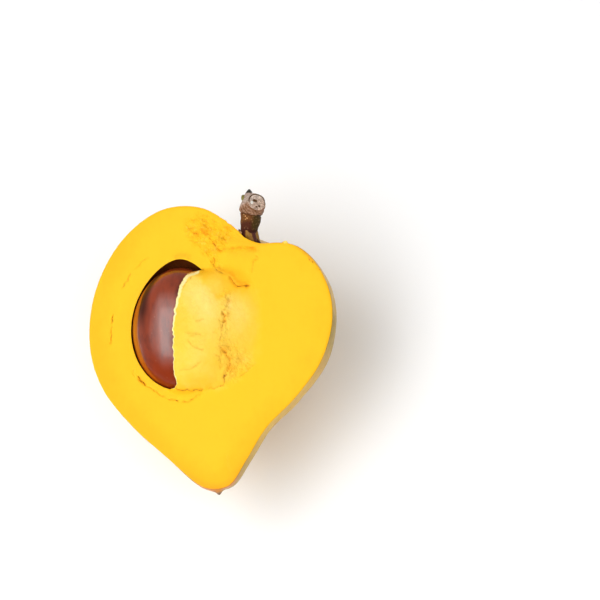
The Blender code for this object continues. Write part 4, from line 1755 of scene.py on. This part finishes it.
    def lip_rings(self, top: Array, torn: Array) -> Array:
        """Rings of the opening's edge: torn flesh with its thickness, or a cut edge.

        Args:
            top: Innermost ring of the cut face.
            torn: For each column, 1 at torn flesh and 0 at a cut edge.

        Returns:
            The rings, of which the last lies on the hollow's wall.
        """
        thickness = np.where(torn > 0.5, self.relief.torn.thickness, self.cut_edge)
        under = top - np.array([0.0, 0.0, 1.0]) * thickness[:, None]
        centre = np.array(HOLLOW_FORM.centre)
        wall = HOLLOW_FORM.meet(unit(under - centre))
        rings = []
        for row in range(1, self.lip_rows + 1):
            f = row / self.lip_rows
            bulge = self.edge_bulge * math.sin(math.pi * f)
            rings.append(top + (wall - top) * f + unit(centre - top) * bulge)
        return np.array(rings)

    def hollow_rings(self, last: Array) -> tuple[Array, Array]:
        """Rings of the hollow's wall, and its deepest point.

        Args:
            last: Last ring of the opening's edge.

        Returns:
            The rings and that point.
        """
        centre = np.array(HOLLOW_FORM.centre)
        start = unit(last - centre)
        end = unit(np.array(self.deepest_way))
        rings = []
        for row in range(1, self.hollow_rows + 1):
            rays = turn_between(start, np.broadcast_to(end, start.shape),
                                row / (self.hollow_rows + 1))
            rings.append(HOLLOW_FORM.meet(rays))
        return np.array(rings), HOLLOW_FORM.meet(end[None])[0]

    def rows(self) -> tuple[int, int, int, int]:
        """Count of rings of the skin, the cut face, the opening's edge and the hollow."""
        return self.skin_rows, self.face_rows, self.lip_rows, self.hollow_rows

    def marks(self, points: Array, torn: Array) -> dict[str, Array]:
        """Values that the finishes read, for every point of the fruit.

        Args:
            points: Points of the fruit, ring by ring.
            torn: For each column, 1 at torn flesh and 0 at a cut edge.

        Returns:
            One number per point and name.
        """
        marks = self.relief.marks(points)
        tip, foot = HEART.end(1.0), HEART.end(0.0)
        axis = unit(tip - foot)
        away = points - foot
        across = away - np.outer(away @ axis, axis)
        marks["turn"] = np.arctan2(-across[:, 2], across[:, 0])
        marks["along"] = away @ axis
        marks["to_tip"] = lengths(points - tip)
        marks["to_stem"] = lengths(away)
        marks["to_spot"] = lengths(points - np.array(self.tip_spot))
        marks["under"] = -points[:, 2]
        marks["green"] = self.green.at(points)
        rows = self.rows()
        band = np.concatenate([[0], np.repeat(np.arange(sum(rows)), self.columns), [0]])
        column = np.concatenate([[0], np.tile(np.arange(self.columns), sum(rows)), [0]])
        wall = band >= rows[0] + rows[1]
        near = np.where(wall, np.where(torn[column] > 0.5, 0.0, 3.0),
                        self.relief.lip_distance(points))
        marks["lip"] = np.clip(near, 0.0, 3.0)
        marks["down"] = np.where(wall, -points[:, 2], 0.0)
        return marks

    def build(self) -> Thing:
        """Build and dress the piece.

        Returns:
            The new object.
        """
        outer, inner = self.edges()
        skin = self.rough_skin(self.skin_rings(outer))
        face = self.face_rings(outer, inner)
        lip = self.lip_rings(face[-1], inner[:, 2])
        hollow, deepest = self.hollow_rings(lip[-1])
        rings = np.concatenate([skin, face, lip, hollow])
        pole = BED.settle(skin[0].mean(axis=0)[None])[0]
        form = RingForm(rings, pole, deepest)
        form.marks = self.marks(form.points(), inner[:, 2])
        rows = self.rows()
        bands = [1] * (rows[0] + 1) + [0] * (rows[1] + rows[2] - 1) + [2] * (rows[3] + 1)
        materials = [FleshFinish().make(), SkinFinish().make(), LiningFinish().make()]
        obj = form.make("fruit", materials, bands)
        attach(obj, "root")
        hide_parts("fruit_body")
        return obj


@dataclass
class Seed:
    """Loose seed in its hollow."""

    rings: int = 180
    segments: int = 160
    waves: Lumps = Lumps(41, 0.10, 7.0, 2)
    shrink: float = 0.10
    scar_radii: Place = (5.0, 17.0)
    # Where the painted reflection of the hollow's wall starts on the seed's side.
    reflection_edge: float = 0.835

    def marks(self, points: Array) -> dict[str, Array]:
        """Values that the finish reads: how near the tip, the scar beneath, and the side where a
        reflection of the hollow's wall is painted.

        Args:
            points: Points of the smooth seed.

        Returns:
            One number per point and name.
        """
        from_centre = points - np.array(SEED_FORM.centre)
        to_stem = from_centre[:, 1] > 0
        low = (SEED_FORM.to_stem - from_centre[:, 1]) / (SEED_FORM.to_stem + SEED_FORM.to_tip)
        scar = 1 - np.hypot(*(from_centre[:, :2] / self.scar_radii).T)
        wide = SEED_FORM.half_width * SEED_FORM.thickness(
            np.clip(from_centre[:, 1] / SEED_FORM.reach(to_stem), -1.0, 1.0), to_stem)
        aside = np.abs(from_centre[:, 0]) / np.maximum(wide, 0.5)
        fade = 0.06 * smooth_step(points[:, 1], 4.0, 16.0) - 0.03 * low
        return {"low": low, "scar": np.where(from_centre[:, 2] < 0, scar, -1.0),
                "wall_reflection": aside - self.reflection_edge - fade}

    def build(self) -> Thing:
        """Build and dress the piece.

        Returns:
            The new object.
        """
        grid = np.meshgrid(between(0.0, math.pi, self.rings), circle(self.segments),
                           indexing="ij")
        rings = SEED_FORM.surface(*grid)
        ends = SEED_FORM.surface(np.array([0.0, math.pi]), np.zeros(2))
        points = RingForm(rings, ends[0], ends[1]).points()
        away = unit(points - np.array(SEED_FORM.centre))
        waves = self.waves.at(points * (1.0, 0.35, 1.0)) - self.shrink
        shifted = points + away * waves[:, None]
        form = RingForm(shifted[1:-1].reshape(rings.shape), shifted[0], shifted[-1])
        form.marks = self.marks(points)
        obj = form.make("seed_dressed", [SeedFinish().make()])
        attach(obj, "root")
        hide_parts("seed")
        return obj


@dataclass(frozen=True)
class BudShape:
    """Place and size of a bud; the fuller it is, the rounder its outline."""

    name: str = "bud"
    middle: Point = (12.1, 44.0, 2.0)
    points_to: Point = (-0.03, 1.0, 0.1)
    length: float = 4.0
    radius: float = 1.95
    fullness: float = 1.5
    rows: int = 44
    columns: int = 40


@dataclass
class Stem:
    """Bent woody stem with a sawn end, sepals round its foot and buds at its head."""

    route: tuple[Point, ...] = (
        (13.4, 22.6, -6.3), (12.5, 27.6, -5.7), (11.1, 32.6, -4.2), (12.0, 36.6, -1.6),
        (12.9, 39.5, 1.3), (15.3, 41.2, 5.9))
    radii: tuple[float, ...] = (2.7, 2.6, 2.8, 3.25, 3.6, 2.75)
    segments: int = 150
    rows: int = 220
    end_rows: int = 24
    crease_at: Point = (13.4, 36.9, 4.3)
    crease_way: Point = (0.242, 0.939, 0.246)
    saw_at: Point = (15.18, 40.99, 5.29)
    saw_way: Point = (0.472, 0.307, 0.826)
    knots: Lumps = Lumps(52, 1.0, 3.0, 2)
    bark_lumps: Lumps = Lumps(51, 0.10, 1.3, 3)
    head_lumps: Lumps = Lumps(55, 0.14, 0.9, 3)
    saw_marks: Lumps = Lumps(53, 0.10, 0.9, 3)
    head_height: float = 0.25
    crease_depth: float = 0.34
    shoulder_height: float = 0.45
    shoulder_at: float = 0.84
    ridge_gap: float = 0.80
    ridge_height: float = 0.035
    rind_radius: float = 2.75
    rind_width: float = 0.24
    pores: tuple[tuple[Place, float], ...] = (
        ((10.5, 37.4), 0.34), ((11.0, 36.75), 0.28), ((11.45, 36.2), 0.36), ((10.9, 36.0), 0.26))
    chalk_at: Point = (13.66, 40.65, 6.33)
    chalk_radii: Point = (0.75, 1.0, 1.0)
    chalk_reach: float = 0.80
    pits: tuple[tuple[Point, float], ...] = (
        ((14.42, 41.55, 5.56), 0.60), ((14.95, 41.35, 5.33), 0.45), ((15.24, 39.3, 5.93), 0.40),
        ((16.0, 39.63, 5.37), 0.45))
    pit_depth: float = 0.40
    sepals: int = 5
    sepal_rows: int = 56
    sepal_columns: int = 48
    sepal_place: float = 0.335
    sepal_reach: float = 0.08
    sepal_ring: float = 2.6
    sepal_size: Point = (2.4, 0.5, 4.0)

    def sawn(self, points: Array) -> tuple[Array, Array]:
        """Points with what lies beyond the saw's cut pressed into it, and how far beyond.

        Args:
            points: Points of the wood.

        Returns:
            The points with the saw's marks, and a distance each, below 0 before the cut.
        """
        way = unit(np.array(self.saw_way))
        beyond = (points - np.array(self.saw_at)) @ way
        kept = -soft_max(-beyond, np.zeros(len(points)), 0.30)
        grain = self.saw_marks.at(points) * smooth_step(beyond, 0.0, 0.6)
        return points + way * (kept - beyond + grain)[:, None], beyond

    def bark(self, points: Array, out: Array, along: Array) -> tuple[Array, dict[str, Array]]:
        """Relief of the bark, with its swollen head, the crease under that and its ridges.

        Args:
            points: Points of the smooth wood.
            out: Directions out of the wood.
            along: Places along the wood, 0 at its foot and 1 at its head.

        Returns:
            Height of the bark over the smooth wood, and the marks of head, ridges and crease.
        """
        knots = self.knots.at(points)
        past = (points - np.array(self.crease_at)) @ unit(np.array(self.crease_way)) + 0.3 * knots
        head = smooth_step(past, -0.10, 0.45)
        height = self.bark_lumps.at(points * (1.0, 0.5, 0.7)) + 0.16 * knots
        height += self.head_height * head - self.crease_depth * bell(past + 0.20, 0.28)
        from_cut = lengths(points - np.array(self.saw_at))
        ridge = head * np.sin(2 * math.pi * from_cut / self.ridge_gap + 5.0 * knots)
        ridge *= smooth_step(Grain(54).at(points, 2.0, 2), -0.5, 0.5)
        height += self.ridge_height * ridge + head * self.head_lumps.at(points)
        to_left = np.clip(-out[:, 0], 0.0, 1.0) ** 2
        height += self.shoulder_height * to_left * bell(along - self.shoulder_at, 0.09)
        return height, {"head": head, "ridge": ridge, "crease": bell(past + 0.18, 0.22)}

    def marks(self, points: Array, beyond: Array, middle: Array) -> dict[str, Array]:
        """Values that the bark's finish reads off the finished wood.

        Args:
            points: Points of the wood.
            beyond: How far they lay past the saw's cut.
            middle: Points of the wood's middle line.

        Returns:
            One number per point and name.
        """
        way, up = unit(np.array(self.saw_way)), points[:, 1]
        from_middle = points - np.array(self.saw_at)
        from_middle -= np.outer(from_middle @ way, way)
        rind = bell(lengths(from_middle) - self.rind_radius, self.rind_width)
        upper_side = smooth_step(points @ np.array([0.2, 1.0, 0.0]), 42.4, 44.0)
        aside = points[:, 0] - np.interp(up, middle[:, 1], middle[:, 0])
        from_chalk = (points - np.array(self.chalk_at)) / self.chalk_radii
        return {
            "cut": smooth_step(beyond, 0.05, 0.35),
            "rind": rind * smooth_step(beyond, -0.6, -0.3) * upper_side,
            "foot": 1 - smooth_step(up, 32.2, 34.0),
            "height": smooth_step(up, 34.0, 36.8),
            "green": smooth_step(aside, 0.2, 2.6) * (1 - smooth_step(up, 37.0, 39.0)),
            "pores": soft_spots(points, self.pores) * (points[:, 2] > 0.0),
            "top": smooth_step(up - 0.3 * points[:, 0], 36.4, 38.0),
            "chalk": bell(lengths(from_chalk), self.chalk_reach)}

    def wood(self, material: Material) -> Thing:
        """Wood with its bark, swollen head and sawn end.

        Args:
            material: The bark's finish.

        Returns:
            The new object.
        """
        t = np.linspace(0.0, 1.0, self.rows)
        middle = smooth_line(self.route, t)
        side, other = crossways(unit(np.gradient(middle, axis=0)))
        radius = smooth_line([(r,) for r in self.radii], t)[:, 0]
        around = circle(self.segments)
        ring = (side[:, None] * np.cos(around)[None, :, None]
                + other[:, None] * np.sin(around)[None, :, None])
        points = (middle[:, None] + ring * radius[:, None, None]).reshape(-1, 3)
        out = ring.reshape(-1, 3)
        height, bark = self.bark(points, out, np.repeat(t, self.segments))
        tube = (points + out * height[:, None]).reshape(ring.shape)
        inwards = between(0.0, 1.0, self.end_rows)[::-1, None, None]
        rings = np.concatenate([tube, middle[-1] + (tube[-1] - middle[-1]) * inwards])
        every, beyond = self.sawn(RingForm(rings, middle[0], middle[-1]).points())
        pit = soft_spots(every, self.pits)
        every -= unit(np.array(self.saw_way)) * (self.pit_depth * pit)[:, None]
        shape = RingForm(every[1:-1].reshape(rings.shape), every[0], every[-1])
        shape.marks = {**self.marks(every, beyond, middle), "pit": pit}
        on_cap = self.end_rows * self.segments
        for name, value in (("head", 1.0), ("ridge", 0.0), ("crease", 0.0)):
            shape.mark(name, 0.0, np.append(bark[name], np.full(on_cap, value)), value)
        return shape.make("stem_wood", [material])

    def sepal(self, number: int, material: Material) -> Thing:
        """One pointed sepal that clasps the foot of the stem.

        Args:
            number: Which one it is, counted from 0.
            material: The sepals' finish.

        Returns:
            The new object.
        """
        half_width, thick, half_length = self.sepal_size
        u, around = between(-1.0, 1.0, self.sepal_rows), circle(self.sepal_columns)
        rise = (u + 1) / 2
        half = half_width * (1 - u ** 2) ** 0.6 * (1.05 - 0.35 * rise)
        across = half[:, None] * np.cos(around)
        lift = self.sepal_ring + 0.25 * rise ** 2 - 0.40 * (1 - rise)
        curl = across ** 2 / (2 * (self.sepal_ring + 0.4))
        shell = thick * np.sqrt(1 - u ** 2)[:, None] * np.sin(around)
        ribs = 0.10 * np.cos(across * 4.2) * (np.sin(around) > 0)
        outwards = lift[:, None] - curl + shell + ribs * (1 - u ** 2)[:, None]
        upwards = np.broadcast_to((half_length * u)[:, None], across.shape)
        place, reach = self.sepal_place, self.sepal_reach
        low, foot, high = smooth_line(self.route, np.array([place - reach, place, place + reach]))
        upright = Vector(high - low).to_track_quat("Z", "Y").to_matrix()
        turn = np.array(upright @ Matrix.Rotation(2 * math.pi * number / self.sepals, 3, "Z"))
        rings = np.stack([across, outwards, upwards], axis=-1) @ turn.T + foot
        tips = np.array([[0.0, lift[0], -half_length], [0.0, lift[-1], half_length]])
        ends = tips @ turn.T + foot
        form = RingForm(rings, ends[0], ends[1])
        edge = np.maximum(np.abs(np.cos(around)), smooth_step(rise, 0.86, 1.0)[:, None])
        # Painted highlight near the tip of the last sepal.
        facing = np.clip(np.sin(around - 0.8), 0.0, 1.0) ** 3 * (number == self.sepals - 1)
        blaze = bell(rise - 0.85, 0.08)[:, None] * facing
        form.mark("edge", 1.0, edge, 1.0)
        form.mark("blaze", 0.0, blaze, 0.0)
        return form.make(f"sepal_{number + 1}", [material])

    def bud(self, shape: BudShape, material: Material) -> Thing:
        """Bud of overlapping scales.

        Args:
            shape: Its place and size.
            material: Its finish.

        Returns:
            The new object.
        """
        rise, around = between(0.0, 1.0, shape.rows), circle(shape.columns)
        profile = shape.radius * (1 - rise ** shape.fullness) ** 0.7 + 0.03
        twist = 3 * around[None] + 5.0 * rise[:, None]
        wide = profile[:, None] * (1 + 0.10 * np.sin(twist))
        ahead = unit(np.array(shape.points_to))
        side, other = crossways(ahead)
        start = np.array(shape.middle) - ahead * shape.length / 2
        rings = (start + (ahead * shape.length)[None, None] * rise[:, None, None]
                 + side * (wide * np.cos(around))[..., None]
                 + other * (wide * np.sin(around))[..., None])
        form = RingForm(rings, start, start + ahead * shape.length)
        edge = np.maximum(smooth_step(rise, 0.56, 0.74)[:, None], 0.5 * (np.sin(twist) > 0.7))
        form.mark("edge", 0.0, edge, 1.0)
        return form.make(shape.name, [material])

    def build(self) -> list[Thing]:
        """Build and dress the piece with its sepals and buds.

        Returns:
            The new objects, the wood first.
        """
        leather = SepalFinish().make()
        pieces = [self.wood(BarkFinish().make())]
        pieces += [self.sepal(number, leather) for number in range(self.sepals)]
        pieces.append(self.bud(BudShape(), SepalFinish(
            "bud_scales", (0.420, 0.300, 0.240), (0.022, 0.016, 0.006)).make()))
        pieces.append(self.bud(
            BudShape("young_bud", (10.4, 43.2, 1.8), (-0.7, 0.7, 0.1), 2.3, 1.15, 3.0),
            SepalFinish("young_scales", (0.210, 0.200, 0.022), (0.150, 0.120, 0.015)).make()))
        for piece in pieces:
            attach(piece, "root")
        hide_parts("stem")
        return pieces


# Studio


@dataclass
class Studio:
    """Pale floor, soft light from the upper left, and the camera.

    A box is given by its width and height in metres and its power in watts. The eye and the
    distances to the boxes are in millimetres in the fruit's frame.
    """

    lens: float = 138.46
    sensor_width: float = 36.0
    clip_end: float = 20.0
    eye: Point = (128.457, -109.827, 731.322)
    right: Point = (0.99079, 0.0, -0.13537)
    up: Point = (0.02156, 0.98724, 0.15780)
    top_light: float = 0.40
    side_light: float = 0.36
    low_light: float = 0.52
    low_until: float = 0.10
    side_span: Place = (0.28, 0.70)
    top_from: float = 0.86
    floor_half: float = 3.0
    distance: float = 950.0
    box_gap: float = 12.0
    key_from: Point = (-0.47, -0.01, 0.88)
    key_boxes: tuple[Point, ...] = (
        (0.95, 1.80, 3.7), (0.66, 1.40, 3.7), (0.38, 0.95, 2.6))
    fill_from: Point = (0.55, -0.20, 0.80)
    fill_boxes: tuple[Point, ...] = ((0.90, 0.90, 2.9),)

    def floor(self) -> None:
        """Lay a wide floor under the fruit."""
        half = self.floor_half
        mesh = bpy.data.meshes.new("floor")
        mesh.from_pydata([(-half, -half, 0.0), (half, -half, 0.0), (half, half, 0.0),
                          (-half, half, 0.0)], [], [(0, 1, 2, 3)])
        mesh.materials.append(FloorFinish().make())
        obj = put_in_scene("floor", mesh)

    def sky(self) -> None:
        """White light from all round, brightest overhead and near the floor."""
        world = bpy.data.worlds.new("studio_light")
        world.use_nodes = True
        bench = NodeBench(world.node_tree)
        ways = bench.add("ShaderNodeTexCoord", {}, {}, "Generated")
        height = bench.add("ShaderNodeSeparateXYZ", {}, {0: ways}, "Z")
        stops = [(0.0, self.low_light), (self.low_until, self.low_light),
                 (self.side_span[0], self.side_light), (self.side_span[1], self.side_light),
                 (self.top_from, self.top_light)]
        colour = bench.add("ShaderNodeValToRGB", {"stops": [
            (at, (light,) * 3) for at, light in stops]}, {"Fac": height}, "Color")
        bench.feed(world.node_tree.nodes["Background"].inputs["Color"], colour)
        bpy.context.scene.world = world
        bpy.context.scene.view_settings.view_transform = "Standard"

    def softbox(self, name: str, way: Point, size: Point, number: int) -> None:
        """Hang a large soft light that shines on the cut face.

        Args:
            name: The light's name.
            way: Direction from the fruit to the light.
            size: Its width and height in metres, and its power in watts.
            number: How many hang before it the same way, a little nearer.
        """
        data = bpy.data.lights.new(name, "AREA")
        data.shape = "RECTANGLE"
        data.size, data.size_y, data.energy = size
        obj = put_in_scene(name, data)
        ray = Vector(way).normalized()
        place = Matrix.Translation(ray * (self.distance + self.box_gap * number) * MM)
        across = Vector((0.0, 1.0, 0.0)).cross(ray).normalized()
        aim = Matrix((across, ray.cross(across), ray)).transposed().to_4x4()
        obj.matrix_world = BED.matrix() @ place @ aim

    def camera(self) -> None:
        """Hang the camera over the cut face, a little to its lower right."""
        data = bpy.data.cameras.new("camera")
        data.lens = self.lens
        data.sensor_width = self.sensor_width
        data.clip_end = self.clip_end
        obj = put_in_scene("camera", data)
        right, up = Vector(self.right), Vector(self.up)
        back = right.cross(up)
        turn = Matrix((right, up, back)).transposed().to_4x4()
        obj.matrix_world = BED.matrix() @ Matrix.Translation(Vector(self.eye) * MM) @ turn
        bpy.context.scene.camera = obj

    def build(self) -> None:
        """Set up the whole studio."""
        self.floor()
        self.sky()
        for name, way, boxes in (("key", self.key_from, self.key_boxes),
                                 ("fill", self.fill_from, self.fill_boxes)):
            for number, size in enumerate(boxes):
                self.softbox(f"{name}_{number + 1}", way, size, number)
        self.camera()


def report(piece: Thing) -> None:
    """Log a piece with its size and its count of faces.

    Args:
        piece: The piece.
    """
    corners = np.array([piece.matrix_world @ Vector(corner) for corner in piece.bound_box])
    size = (corners.max(axis=0) - corners.min(axis=0)) / MM
    LOG.info("%s: %.1f x %.1f x %.1f mm, %d faces", piece.name, *size, len(piece.data.polygons))


def main() -> None:
    """Dress the lucuma and light it."""
    logging.basicConfig(level=logging.INFO, format="%(name)s %(message)s")
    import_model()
    Studio().build()
    report(FruitBody().build())
    report(Seed().build())
    for piece in Stem().build():
        report(piece)


if __name__ == "__main__":
    main()
